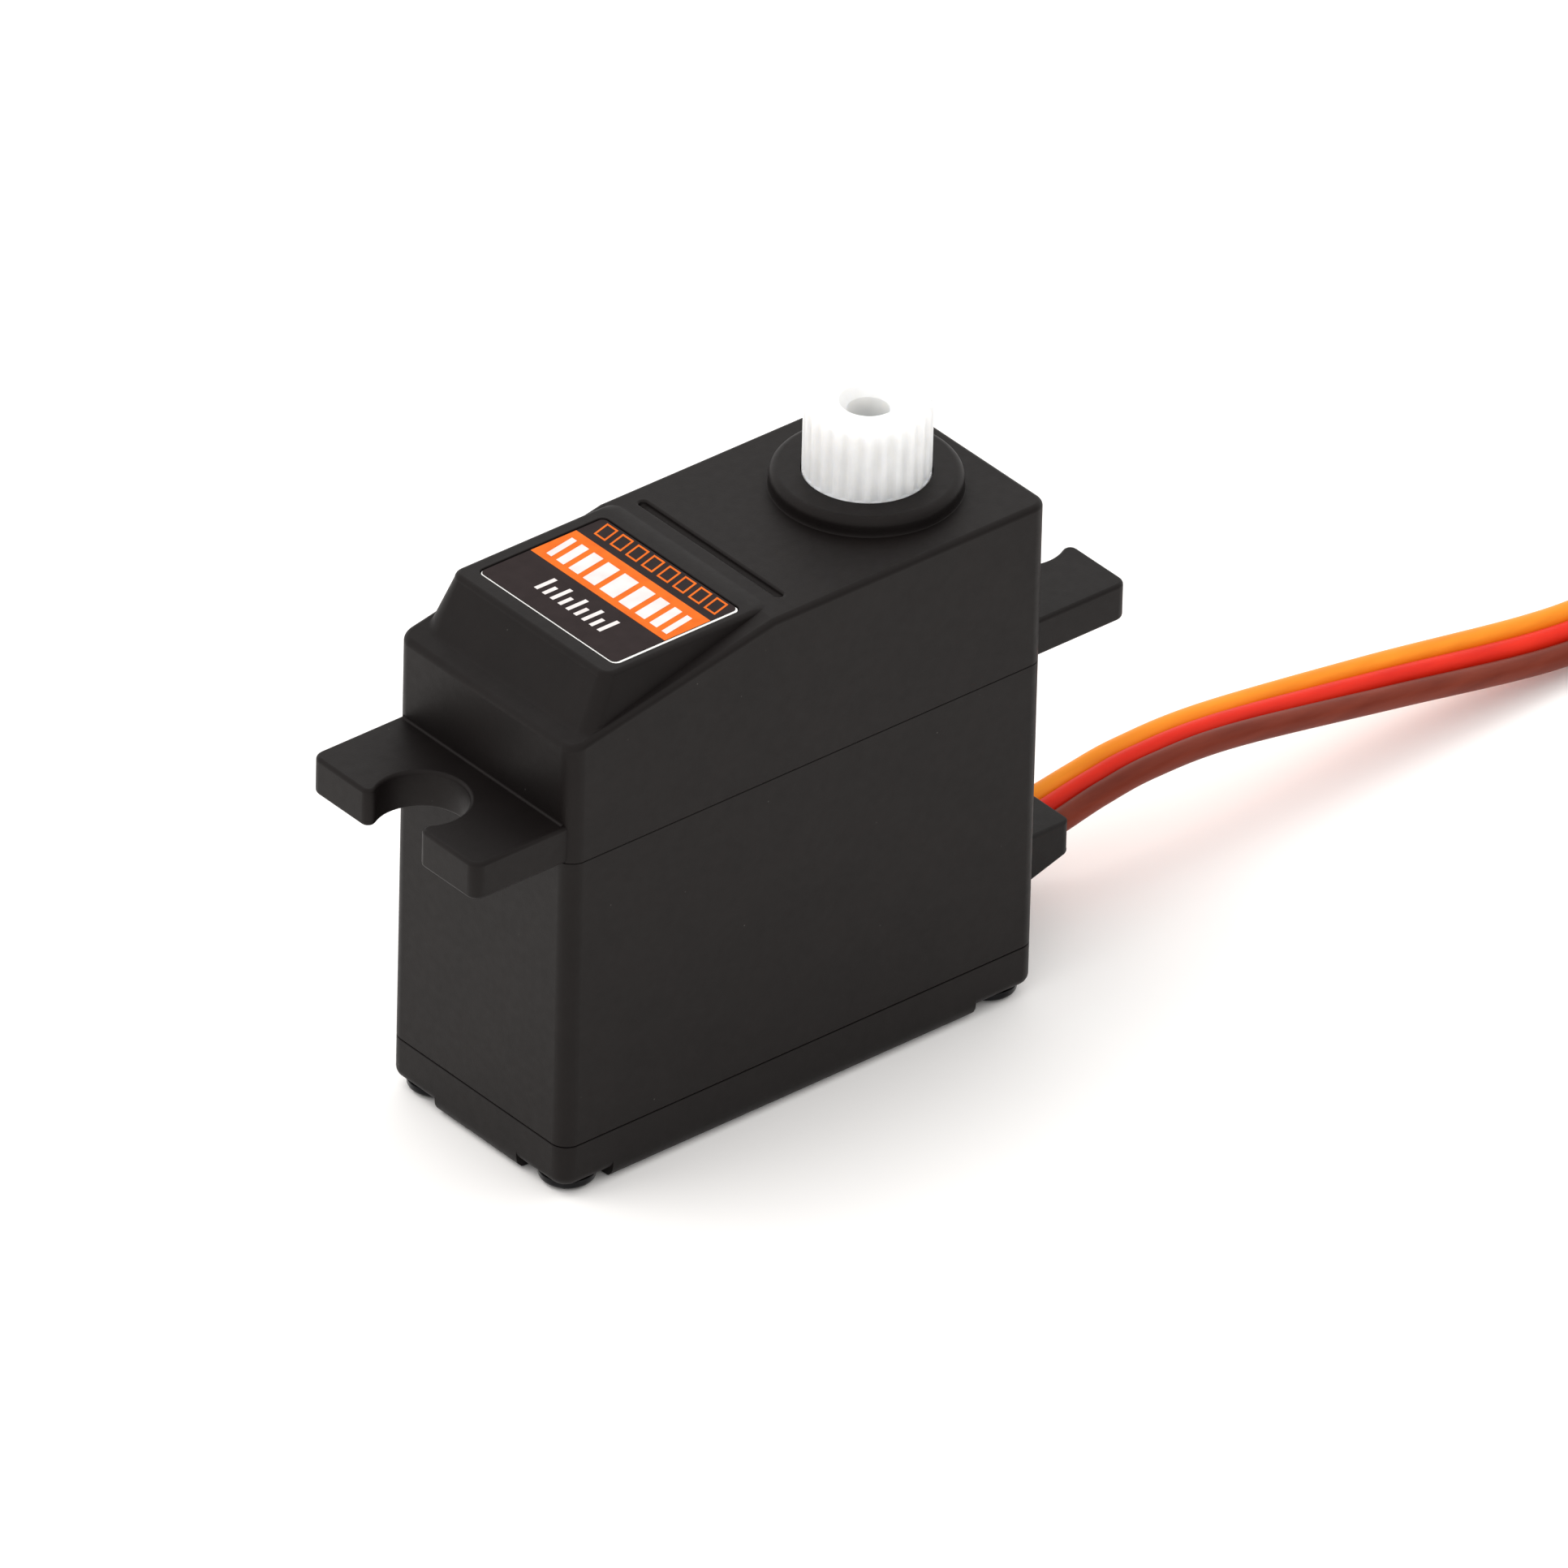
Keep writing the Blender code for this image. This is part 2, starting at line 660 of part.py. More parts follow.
def gear_train(metal, nylon):
    """The four compound gears, each with a tooth of one lined up with a gap of the next."""
    forward, back = 0.0, math.pi
    first_wheel = gear_outline(FIRST_TEETH, FIRST_MODULE, back + math.pi / FIRST_TEETH)
    first_pinion = gear_outline(PINION_TEETH, SECOND_MODULE, forward, 3)
    compound_gear("first_gear", PIN_B_X, 0, first_wheel, first_pinion, PIN_BORE, nylon)

    second_wheel = gear_outline(SECOND_TEETH, SECOND_MODULE, back + math.pi / SECOND_TEETH)
    pinion_forward = gear_outline(PINION_TEETH, WHEEL_MODULE, forward, 3)
    compound_gear("second_gear", PIN_A_X, 1, second_wheel, pinion_forward, PIN_BORE, nylon)

    wheel_gap_back = gear_outline(WHEEL_TEETH, WHEEL_MODULE, back + math.pi / WHEEL_TEETH)
    pinion_back = gear_outline(PINION_TEETH, WHEEL_MODULE, back, 3)
    third = compound_gear(
        "third_gear", OUTPUT_X, 2, wheel_gap_back, pinion_back, AXLE_BORE, nylon
    )
    hub_bottom = AXLE_SEAT_TOP + 3 * RUNNING_GAP
    above = LAYERS[3][1] + OPEN_PAST
    join(third, cylinder(OUTPUT_X, 0, HUB_RADIUS, hub_bottom, LAYERS[2][0] + OVERLAP))
    cut(third, cylinder(OUTPUT_X, 0, AXLE_BORE, hub_bottom - OPEN_PAST, above, 16))

    wheel_gap_forward = gear_outline(WHEEL_TEETH, WHEEL_MODULE, forward + math.pi / WHEEL_TEETH)
    compound_gear("fourth_gear", PIN_A_X, 3, wheel_gap_forward, pinion_forward, PIN_BORE, nylon)

    for name, x, top in (("gear_pin_a", PIN_A_X, PIN_A_TOP), ("gear_pin_b", PIN_B_X, PIN_B_TOP)):
        solid(name, cylinder(x, 0, PIN_RADIUS, PIN_BOTTOM, top, 16), metal, origin=(x, 0, 0))


def output_gear(material):
    """The last wheel, its journal and the horn spline in one moulding."""
    bottom, face = LAYERS[4]
    wheel = gear_outline(WHEEL_TEETH, WHEEL_MODULE, math.pi + math.pi / WHEEL_TEETH)
    gear = solid("output_gear", prism(wheel, bottom, face), material)
    join(gear, cylinder(0, 0, JOURNAL_RADIUS, face - OVERLAP, SPLINE_START + 0.1, 32))
    edge = SPLINE_CHAMFER
    spline = upright(
        [
            (spline_outline(SPLINE_TIP, SPLINE_ROOT), SPLINE_START),
            (spline_outline(SPLINE_TIP, SPLINE_ROOT), SPLINE_TOP - edge),
            (spline_outline(SPLINE_TIP - edge, SPLINE_ROOT - edge), SPLINE_TOP),
        ]
    )
    join(gear, spline)
    hole = [
        (HORN_HOLE_TIP, HORN_HOLE_FLOOR),
        (HORN_HOLE_RADIUS, HORN_HOLE_FLOOR + 0.4),
        (HORN_HOLE_RADIUS, SPLINE_TOP - 0.5),
        (HORN_HOLE_MOUTH, SPLINE_TOP - 0.16),
        (HORN_HOLE_MOUTH, SPLINE_TOP + OPEN_PAST),
    ]
    half_x, half_y = FLAT_HALF_LENGTH + FLAT_GAP, FLAT_HALF_WIDTH + FLAT_GAP
    slot = box(-half_x, half_x, -half_y, half_y, bottom - OPEN_PAST, FLAT_TOP + 0.1)
    cut(gear, turned(hole, steps=20), slot)
    return gear


# ---------------------------------------------------------------- motor


def motor_can(material):
    """A drawn steel cup, open below, with the bearing boss on top."""
    inner = CAN_RADIUS - CAN_WALL
    profile = [
        (CAN_RADIUS, CAN_BOTTOM),
        (CAN_RADIUS, CAN_TOP - CAN_WALL),
        (inner, CAN_TOP),
        (CAN_BOSS_RADIUS, CAN_TOP + 0.01),
        (CAN_BOSS_RADIUS, CAN_BOSS_TOP),
    ]
    can = solid("motor_can", turned(profile, MOTOR_X), material)
    cut(
        can,
        cylinder(MOTOR_X, 0, inner, CAN_BOTTOM - OPEN_PAST, CAN_TOP - CAN_WALL, 28),
        cylinder(MOTOR_X, 0, CAN_BOSS_BORE, CAN_TOP - OPEN_PAST, CAN_BOSS_TOP + OPEN_PAST, 16),
    )
    return can


def on_shaft(name, mesh, gap, material):
    """A piece of the motor with the shaft's hole through it."""
    made = solid(name, mesh, material, origin=(MOTOR_X, 0, 0))
    hole = MOTOR_SHAFT_RADIUS + gap
    cut(made, cylinder(MOTOR_X, 0, hole, 0, LAYERS[0][1] + OPEN_PAST, 12))
    return made


def motor_bushing(material):
    tube_mesh = cylinder(MOTOR_X, 0, BUSHING_RADIUS, CAN_TOP - CAN_WALL, BUSHING_TOP, 16)
    return on_shaft("motor_bushing", tube_mesh, RUNNING_GAP, material)


def armature_outline(steps=5):
    """Three T-shaped poles round a hub."""
    neck, neck_end = POLE_HALF_NECK, POLE_RADIUS - POLE_RIM - 0.2
    inner, half = POLE_RADIUS - POLE_RIM, TURN / 6 - POLE_SLOT_ANGLE
    points = []
    for pole in range(3):
        centre = TURN * pole / 3
        across = (-math.sin(centre), math.cos(centre))
        along = (math.cos(centre), math.sin(centre))

        def at(radius, side):
            return (
                radius * along[0] + side * across[0],
                radius * along[1] + side * across[1],
            )

        points.append(at(POLE_HUB, -neck))
        points.append(at(neck_end, -neck))
        points.append((inner * math.cos(centre - half), inner * math.sin(centre - half)))
        points += arc(0, 0, POLE_RADIUS, centre - half, centre + half, steps)
        points.append((inner * math.cos(centre + half), inner * math.sin(centre + half)))
        points.append(at(neck_end, neck))
        points.append(at(POLE_HUB, neck))
    return points


def winding(index, material):
    """One flat coil round the neck of an armature pole."""
    near, far = (MOTOR_X + reach for reach in COIL_REACH)
    half, gap, over = COIL_HALF_WIDTH, RUNNING_GAP, COIL_OVERHANG
    coil = box(near, far, -half, half, ARMATURE_BOTTOM - over, ARMATURE_TOP + over)
    made = solid(f"armature_winding_{index + 1}", coil, material, origin=(MOTOR_X, 0, 0))
    neck = POLE_HALF_NECK + gap
    cut(
        made,
        box(near - 1, far + 1, -neck, neck, ARMATURE_BOTTOM - gap, ARMATURE_TOP + gap),
    )
    made.rotation_euler.z = TURN * index / 3
    return made


def magnet(name, side, material):
    """An arc magnet that lines one half of the can."""
    spread = MAGNET_HALF_ANGLE
    middle = math.copysign(math.pi / 2, side)
    outer_radius = CAN_RADIUS - CAN_WALL - RUNNING_GAP
    outer = arc(MOTOR_X, 0, outer_radius, middle - spread, middle + spread, 10)
    inner = arc(MOTOR_X, 0, MAGNET_INNER_RADIUS, middle + spread, middle - spread, 10)
    return solid(name, prism(outer + inner, *MAGNET_HEIGHT), material)


def motor_rotor(steel, copper):
    top = LAYERS[0][1] - RUNNING_GAP
    shaft = cylinder(MOTOR_X, 0, MOTOR_SHAFT_RADIUS, MOTOR_SHAFT_BOTTOM, top, 12)
    solid("motor_shaft", shaft, steel, origin=(MOTOR_X, 0, 0))
    core = prism(placed(armature_outline(), MOTOR_X), ARMATURE_BOTTOM, ARMATURE_TOP)
    on_shaft("motor_armature", core, PRESS_FIT_GAP, steel)
    for index in range(3):
        winding(index, copper)
    segments = cylinder(MOTOR_X, 0, COMMUTATOR_RADIUS, *COMMUTATOR_HEIGHT, 18)
    on_shaft("motor_commutator", segments, PRESS_FIT_GAP, copper)


def motor_pinion(material):
    outline = placed(gear_outline(PINION_TEETH, FIRST_MODULE, 0.0, 3), MOTOR_X)
    bottom = CAN_BOSS_TOP + 3 * RUNNING_GAP
    return on_shaft("motor_pinion", prism(outline, bottom, LAYERS[0][1]), PRESS_FIT_GAP, material)


def motor_end(nylon, copper):
    """The end cap with its terminals and brush arms."""
    disc = cylinder(MOTOR_X, 0, CAP_RADIUS, CAP_BOTTOM, CAP_TOP, 28)
    cap = on_shaft("motor_end_cap", disc, RUNNING_GAP, nylon)
    across, thick, gap = TERMINAL_HALF_WIDTH, TERMINAL_HALF_THICKNESS, RUNNING_GAP
    left, right = MOTOR_X - across, MOTOR_X + across
    low, high = CAP_BOTTOM - OPEN_PAST, CAP_TOP + OPEN_PAST
    for index, side in ((1, -1), (2, 1)):
        y = side * TERMINAL_Y
        cut(cap, box(left - gap, right + gap, y - thick - gap, y + thick + gap, low, high))
        blade = box(left, right, y - thick, y + thick, *TERMINAL_HEIGHT)
        solid(f"motor_terminal_{index}", blade, copper)
        reach = sorted(side * y_end for y_end in BRUSH_REACH)
        arm = box(MOTOR_X - BRUSH_HALF_WIDTH, MOTOR_X + BRUSH_HALF_WIDTH, *reach, *BRUSH_HEIGHT)
        solid(f"motor_brush_{index}", arm, copper)


# ---------------------------------------------------------------- potentiometer and board


def potentiometer(nylon, board_stuff, steel):
    """A cup with a resistive disc, and the wiper shaft that keys into the output gear."""
    body = solid("pot_body", cylinder(OUTPUT_X, 0, POT_RADIUS, POT_BOTTOM, POT_TOP, 28), nylon)
    inner = POT_RADIUS - POT_WALL
    cut(
        body,
        cylinder(OUTPUT_X, 0, inner, POT_BOTTOM - OPEN_PAST, POT_TOP - POT_LID, 28),
        cylinder(OUTPUT_X, 0, AXLE_BORE, POT_TOP - 2 * POT_LID, POT_TOP + OPEN_PAST, 16),
    )
    track = cylinder(OUTPUT_X, 0, inner - RUNNING_GAP, *TRACK_HEIGHT, 28)
    solid("pot_track", track, board_stuff)
    profile = [(WIPER_RADIUS, z) for z in WIPER_HEIGHT]
    profile += [(AXLE_RADIUS, WIPER_HEIGHT[1] + 0.02), (AXLE_RADIUS, AXLE_TOP)]
    shaft = solid("pot_shaft", turned(profile, steps=20), steel)
    long, wide = FLAT_HALF_LENGTH, FLAT_HALF_WIDTH
    join(shaft, box(-long, long, -wide, wide, FLAT_BOTTOM, FLAT_TOP))


def circuit_board(laminate, chip, silver):
    x0, x1 = INNER_LEFT + BOARD_GAP, INNER_RIGHT - BOARD_GAP
    half = INNER_HALF_WIDTH - BOARD_GAP
    board = solid("circuit_board", box(x0, x1, -half, half, BOARD_BOTTOM, BOARD_TOP), laminate)
    low, high = BOARD_BOTTOM - OPEN_PAST, BOARD_TOP + OPEN_PAST
    for x, y in screw_places():
        cut(board, cylinder(x, y, BOARD_NOTCH, low, high, 16))
    foot = BOARD_TOP + SOLDER_GAP
    for name, x, y, long, wide, tall in CHIPS:
        body = box(x - long / 2, x + long / 2, y - wide / 2, y + wide / 2, foot, foot + tall)
        solid(name, body, silver if name == "chip_capacitor" else chip)
    rim = CAPACITOR_TOP - 0.2
    profile = [(CAPACITOR_RADIUS, foot), (CAPACITOR_RADIUS, rim)]
    profile.append((CAPACITOR_RADIUS - 0.3, CAPACITOR_TOP))
    solid("power_capacitor", turned(profile, CAPACITOR_X, CAPACITOR_Y, 20), silver)


# ---------------------------------------------------------------- wires, grommet and plug


def smooth_path(points, steps):
    """A Catmull-Rom curve through the points, with steps pieces between neighbours."""
    padded = [2 * points[0] - points[1], *points, 2 * points[-1] - points[-2]]
    path = []
    for a, b, c, d in zip(padded, padded[1:], padded[2:], padded[3:]):
        for i in range(steps):
            t = i / steps
            cubic = (2 * b) + (c - a) * t
            cubic += (2 * a - 5 * b + 4 * c - d) * t**2
            cubic += (3 * b - a - 3 * c + d) * t**3
            path.append(cubic / 2)
    path.append(points[-1])
    return path


def tube(path, radius, sides):
    """A round tube along a path that stays near one vertical plane or one vertical line."""
    loops = []
    for i, point in enumerate(path):
        before = path[max(i - 1, 0)]
        after = path[min(i + 1, len(path) - 1)]
        along = (after - before).normalized()
        guide = Vector((0, 1, 0))
        up = along.cross(guide).normalized()
        across = up.cross(along)
        loop = []
        for k in range(sides):
            angle = TURN * k / sides
            loop.append(point + radius * (math.cos(angle) * across + math.sin(angle) * up))
        loops.append(loop)
    return skin(loops)


def ease(x, start, end):
    """0 before start, 1 after end and a smooth step between."""
    part = min(max((x - start) / (end - start), 0.0), 1.0)
    return part * part * (3 - 2 * part)


def roll_at(x):
    """How far the flat lead is rolled at this x, in radians."""
    degrees = LEAD_ROLL[0][1]
    for before, after in zip(LEAD_ROLL, LEAD_ROLL[1:]):
        degrees += (after[1] - before[1]) * ease(x, before[0], after[0])
    return math.radians(degrees)


def lead_path(place):
    """The centre line of one wire; place is -1, 0 or +1 across the flat lead."""
    centre = smooth_path([Vector((x, 0, z)) for x, z in LEAD_PATH], 3)
    path = []
    for point in centre:
        roll = roll_at(point.x)
        offset = place * (WIRE_PITCH + (PLUG_PITCH - WIRE_PITCH) * ease(point.x, FAN_START, FAN_END))
        path.append(point + Vector((0, offset * math.cos(roll), offset * math.sin(roll))))
    return path


def lead_wires(orange, red, brown):
    for name, place, material in (
        ("lead_wire_orange", 1, orange),
        ("lead_wire_red", 0, red),
        ("lead_wire_brown", -1, brown),
    ):
        solid(name, tube(lead_path(place), WIRE_RADIUS, 8), material)


def cable_grommet(rubber):
    """A wedge outside the wall, a neck through it and a flange inside."""
    tip, top, half = GROMMET_TIP_X, GROMMET_TOP, GROMMET_HALF_WIDTH
    root = CASE_RIGHT + GROMMET_GAP
    under_root, under_tip = GROMMET_UNDERSIDE
    wedge = [(root, under_root), (tip, under_tip), (tip, top - 0.1), (tip - 0.2, top), (root, top)]
    grommet = solid("cable_grommet", lying_prism(wedge, -half, half), rubber)
    neck_half, flange_half = half - GROMMET_GAP, GROMMET_FLANGE_HALF_WIDTH
    low = GROMMET_NECK_BOTTOM
    neck_start, flange_start = INNER_RIGHT - OVERLAP, INNER_RIGHT - 1.0
    join(grommet, box(neck_start, root + OVERLAP, -neck_half, neck_half, low, top))
    join(grommet, box(flange_start, INNER_RIGHT - 0.1, -flange_half, flange_half, low, top))
    slot = WIRE_RADIUS + GROMMET_GAP
    across = WIRE_PITCH + slot
    z0, z1 = WIRE_EXIT_LOW - slot - GROMMET_GAP, WIRE_EXIT_HIGH + slot + GROMMET_GAP
    cut(grommet, box(flange_start - 1, tip + 1, -across, across, z0, z1))
    return grommet


def plug(black, gold):
    """A three-way socket housing with one contact for each wire."""
    x0, x1 = PLUG_START, PLUG_START + PLUG_LENGTH
    top, half = PLUG_BOTTOM + PLUG_HEIGHT, PLUG_HALF_WIDTH
    outline = rounded_rectangle(-half, half, PLUG_BOTTOM, top, PLUG_CORNER, 2)
    housing = solid("plug_housing", skin([[(x, y, z) for y, z in outline] for x in (x0, x1)]), black)

    def square_rod(y, half_side, start, end):
        z = (PLUG_BOTTOM + top) / 2
        return box(start, end, y - half_side, y + half_side, z - half_side, z + half_side)

    front = x1 - CONTACT_SETBACK
    for index, place in enumerate((1, 0, -1)):
        y = place * PLUG_PITCH
        cut(housing, square_rod(y, SOCKET_HALF, x0 - OPEN_PAST, x1 + OPEN_PAST))
        contact = square_rod(y, CONTACT_HALF, front - CONTACT_LENGTH, front)
        metal = solid(f"plug_contact_{index + 1}", contact, gold)
        cut(metal, square_rod(y, CONTACT_BORE_HALF, front - CONTACT_BORE_LENGTH, x1 + OPEN_PAST))


def inner_wire(name, points, y, material):
    """A thin wire through (x, z) points in the plane at y."""
    path = smooth_path([Vector((x, y, z)) for x, z in points], 3)
    solid(name, tube(path, INNER_WIRE_RADIUS, 8), material)


def inner_wires(red, black, white):
    """Leads from the motor terminals and the potentiometer down to the board."""
    low = INNER_WIRE_BOTTOM
    motor_path = ((MOTOR_X, low), (MOTOR_X - 0.3, 3.6), (MOTOR_X, CAP_BOTTOM - OPEN_PAST * 0.15))
    for index, (y, material) in enumerate(((-3.2, red), (3.2, black))):
        inner_wire(f"motor_wire_{index + 1}", motor_path, y, material)
    pot_path = ((-3.2, low), (-2.2, 6.0), (-2.6, 9.0), (-2.4, POT_BOTTOM + RUNNING_GAP))
    for index, material in enumerate((red, white, black)):
        inner_wire(f"pot_wire_{index + 1}", pot_path, index - 2.2, material)


# ---------------------------------------------------------------- assembly


def build():
    clear_scene()
    case_black = finish("black_nylon", (0.032, 0.027, 0.026), 0.55)
    label_ink = finish("label_film", (0.02, 0.02, 0.022), 0.25)
    white_nylon = finish("white_nylon", (0.86, 0.86, 0.84), 0.4)
    dark_steel = finish("black_steel", (0.02, 0.02, 0.02), 0.3, 1.0)
    steel = finish("steel", (0.55, 0.55, 0.56), 0.3, 1.0)
    brass = finish("brass", (0.75, 0.55, 0.25), 0.35, 1.0)
    copper = finish("copper", (0.72, 0.33, 0.18), 0.35, 1.0)
    ferrite = finish("ferrite", (0.09, 0.09, 0.1), 0.6)
    laminate = finish("laminate", (0.03, 0.22, 0.09), 0.5)
    chip_black = finish("chip_black", (0.03, 0.03, 0.035), 0.5)
    silver = finish("silver", (0.6, 0.6, 0.62), 0.35, 1.0)
    rubber = finish("rubber", (0.025, 0.022, 0.022), 0.7)
    orange = finish("wire_orange", (0.93, 0.36, 0.06), 0.45)
    red = finish("wire_red", (0.68, 0.025, 0.01), 0.45)
    brown = finish("wire_brown", (0.27, 0.07, 0.045), 0.45)

    top_case(case_black)
    middle_case(case_black)
    bottom_cover(case_black)
    for index, (x, y) in enumerate(screw_places()):
        case_screw(f"case_screw_{index + 1}", x, y, dark_steel)
    label(label_ink)

    gear_train(steel, white_nylon)
    output_gear(white_nylon)

    motor_can(steel)
    motor_bushing(brass)
    magnet("motor_magnet_1", -1, ferrite)
    magnet("motor_magnet_2", 1, ferrite)
    motor_end(chip_black, brass)
    motor_rotor(steel, copper)
    motor_pinion(brass)

    potentiometer(chip_black, laminate, steel)
    circuit_board(laminate, chip_black, silver)

    lead_wires(orange, red, brown)
    cable_grommet(rubber)
    plug(chip_black, brass)
    inner_wires(red, chip_black, white_nylon)


build()
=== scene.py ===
"""Looks of the mini servo motor: moulded case, label, splined shaft, screws, lead and plug.

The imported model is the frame. Lengths here are millimetres in the frame's axes, with the
origin on the output axis at the base plane; meshes are made in metres.
"""

import math

import bmesh
import bpy
from mathutils import Matrix, Vector


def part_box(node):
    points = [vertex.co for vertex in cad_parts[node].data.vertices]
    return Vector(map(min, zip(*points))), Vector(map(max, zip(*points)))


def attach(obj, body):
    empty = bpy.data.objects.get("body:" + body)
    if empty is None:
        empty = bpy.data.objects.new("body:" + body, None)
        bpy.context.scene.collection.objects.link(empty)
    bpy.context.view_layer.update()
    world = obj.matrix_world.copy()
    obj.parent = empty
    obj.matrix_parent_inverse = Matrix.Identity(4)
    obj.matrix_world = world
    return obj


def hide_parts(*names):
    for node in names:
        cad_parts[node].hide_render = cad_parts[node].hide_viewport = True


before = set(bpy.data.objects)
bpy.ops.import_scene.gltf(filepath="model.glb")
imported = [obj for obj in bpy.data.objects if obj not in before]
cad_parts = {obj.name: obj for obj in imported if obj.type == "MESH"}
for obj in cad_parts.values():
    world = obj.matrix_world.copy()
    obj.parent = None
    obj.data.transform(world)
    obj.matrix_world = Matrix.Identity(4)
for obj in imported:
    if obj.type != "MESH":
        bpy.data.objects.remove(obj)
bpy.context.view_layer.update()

MM = 0.001
TURN = 2 * math.pi


class Box:
    """The lowest and highest corner of a CAD node, in millimetres."""

    def __init__(self, node):
        low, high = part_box(node)
        self.x0, self.y0, self.z0 = (c / MM for c in low)
        self.x1, self.y1, self.z1 = (c / MM for c in high)
        self.x = (self.x0 + self.x1) / 2
        self.y = (self.y0 + self.y1) / 2


class Pin(Box):
    """A gear pin, with the ends of the seats that hold it."""

    def __init__(self, node):
        super().__init__(node)
        self.bottom = self.z0 - 0.05
        self.top = self.z1 + 0.1


TOP = Box("top_case")
MIDDLE = Box("middle_case")
COVER = Box("bottom_cover")
LABEL = Box("label")
GEAR = Box("output_gear")
GROMMET = Box("cable_grommet")
PLUG = Box("plug_housing")
CAN = Box("motor_can")
PIN_A = Pin("gear_pin_a")
PIN_B = Pin("gear_pin_b")
SCREWS = [Box(f"case_screw_{number}") for number in (1, 2, 3, 4)]

# Case
CASE_LEFT = MIDDLE.x0
CASE_RIGHT = MIDDLE.x1
CASE_HALF_WIDTH = MIDDLE.y1
CASE_MIDDLE_X = (CASE_LEFT + CASE_RIGHT) / 2
CASE_CORNER = 0.85
CORNER_STEPS = 10
WALL = 1.1
OPEN_PAST = 1.0
COLLAR_TOP = TOP.z1
DECK_Z = COLLAR_TOP - 0.9
DECK_EDGE = 0.3
RAMP_START_X = -10.63
RAMP_END_Z = DECK_Z - 2.4
SEAM_EDGE = 0.045

# Mounting lugs
LUG_HALF_WIDTH = CASE_HALF_WIDTH - 0.38
LUG_BOTTOM = TOP.z0 + 0.02
LUG_TOP = LUG_BOTTOM + 1.97
LUG_CORNER = 0.6
LUG_EDGE = 0.2
LUG_ROOT = 0.66
LUG_FILLET = 0.12
NOTCH_RADIUS = 2.2
NOTCH_INSET = 1.7
NOTCH_MOUTH_ROUND = 0.4

# Label pad on the nose
PAD_TOP = DECK_Z + 0.1
PAD_FOOT_Z = DECK_Z - 2.7
PAD_FOOT = (-21.9, -9.5, -6.2, 6.2)
PAD_FACE = (-19.85, -9.7, -5.3, 5.95)
PAD_CORNER = 0.7
PAD_FOOT_CORNERS = (0.7, 1.6, 0.7, 0.7)
PAD_TAIL = 4.0
PAD_EDGE = 0.3
PAD_FILLET = 0.16
PAD_ROOT = 0.5
LABEL_DEPTH = 0.16
LABEL_GAP = 0.05
LABEL_CORNER = 0.36
LABEL_RIM = 0.05
GROOVE_BOX = (-9.3, -8.9, -4.85, 5.2)
GROOVE_CORNER = 0.19
GROOVE_DEPTH = 0.26
GROOVE_RIM = 0.14
GROOVE_FLOOR_ROUND = 0.17

# Output shaft
COLLAR_RADIUS = 4.5
COLLAR_FLARE = 0.06
COLLAR_FLARE_HEIGHT = 0.3
COLLAR_SHOULDER = 0.42
COLLAR_BORE = 3.05
SPLINE_TEETH = 25
SPLINE_TIP = 3.0
SPLINE_ROOT = 2.86
SPLINE_TOP = GEAR.z1
HORN_HOLE = 1.0
HORN_HOLE_MOUTH = 1.34
HORN_HOLE_FLOOR = SPLINE_TOP - 4.0
WHEEL_TEETH = 28
WHEEL_TIP = GEAR.x1
WHEEL_HEIGHT = 1.2

# Inside of the case
INNER_HALF_WIDTH = CASE_HALF_WIDTH - WALL
MIDDLE_TOP = TOP.z0 - 0.02
PLATE_BOTTOM = MIDDLE_TOP - 1.1
OVERLAP = 0.3
HIGH_BAY_LEFT = -10.5
NOSE_BAY = (-19.2, -12.0, -4.1, 4.1)
PIN_SEAT = 0.53
AXLE_BORE = 0.76
AXLE_SEAT_RADIUS = 2.0
CAN_BOSS_HOLE = 1.55
SCREW_HOLE = 0.83
GROMMET_WIDTH = (-2.3, 2.3)
LOW_CEILING = DECK_Z - 5.2
HIGH_CEILING = DECK_Z - 1.0
SCREW_CLEARANCE = 0.86
BOSS_RADIUS = 1.4
POCKET_LEFT = 3.0
POCKET_RIGHT = 3.6
POCKET_ACROSS = 3.35
POCKET_CORNER = 1.0
POCKET_DEPTH = 0.6
POCKET_RIM = 0.2
POCKET_EDGE = 0.5
SCREW_DROP = 0.12
COVER_FLOOR = 1.15
COVER_EDGE = 0.8

# Lead
WIRE_RADIUS = 0.57
WIRE_PITCH = 1.16
PLUG_PITCH = 2.54
FAN_START = 54.0
FAN_END = 60.5
WIRE_EXIT_LOW = 4.05
WIRE_EXIT_HIGH = 4.38
LEAD_PATH = (
    (0.6, 2.98),
    (2.4, 3.75),
    (5.0, WIRE_EXIT_LOW),
    (8.5, 4.1),
    (11.0, WIRE_EXIT_HIGH),
    (14.0, 4.9),
    (17.0, 5.2),
    (22.0, 4.97),
    (32.0, 3.34),
    (42.0, 1.57),
    (48.0, 1.3),
    (58.5, 1.3),
    (64.0, 1.3),
)
LEAD_ROLL = ((8.5, 0.0), (14.0, -6.0), (40.0, 14.0), (54.0, 0.0))
GROMMET_HALF_WIDTH = 2.3
GROMMET_NECK_BOTTOM = 2.95
GROMMET_TIP_HEIGHT = 1.75

# Camera: degrees round and above the object, and how the picture is framed
CAMERA_AZIMUTH = -40.62
CAMERA_ELEVATION = 33.27
CAMERA_ROLL = 1.498
CAMERA_LENS = 738.3
CAMERA_SENSOR = 36.0
CAMERA_DISTANCE = 1475.8
AIM_HEIGHT = 10.5
AIM_RIGHT = 3.07
AIM_UP = 2.90

# Studio: where it is dim, and cosine and brightness at the edge and middle of that patch
DIM_DIRECTION = (0.55, -0.83, 0.05)
DIM_FADE = (0.84, 0.96, 1.34, 0.3)


# ---------------------------------------------------------------- outlines


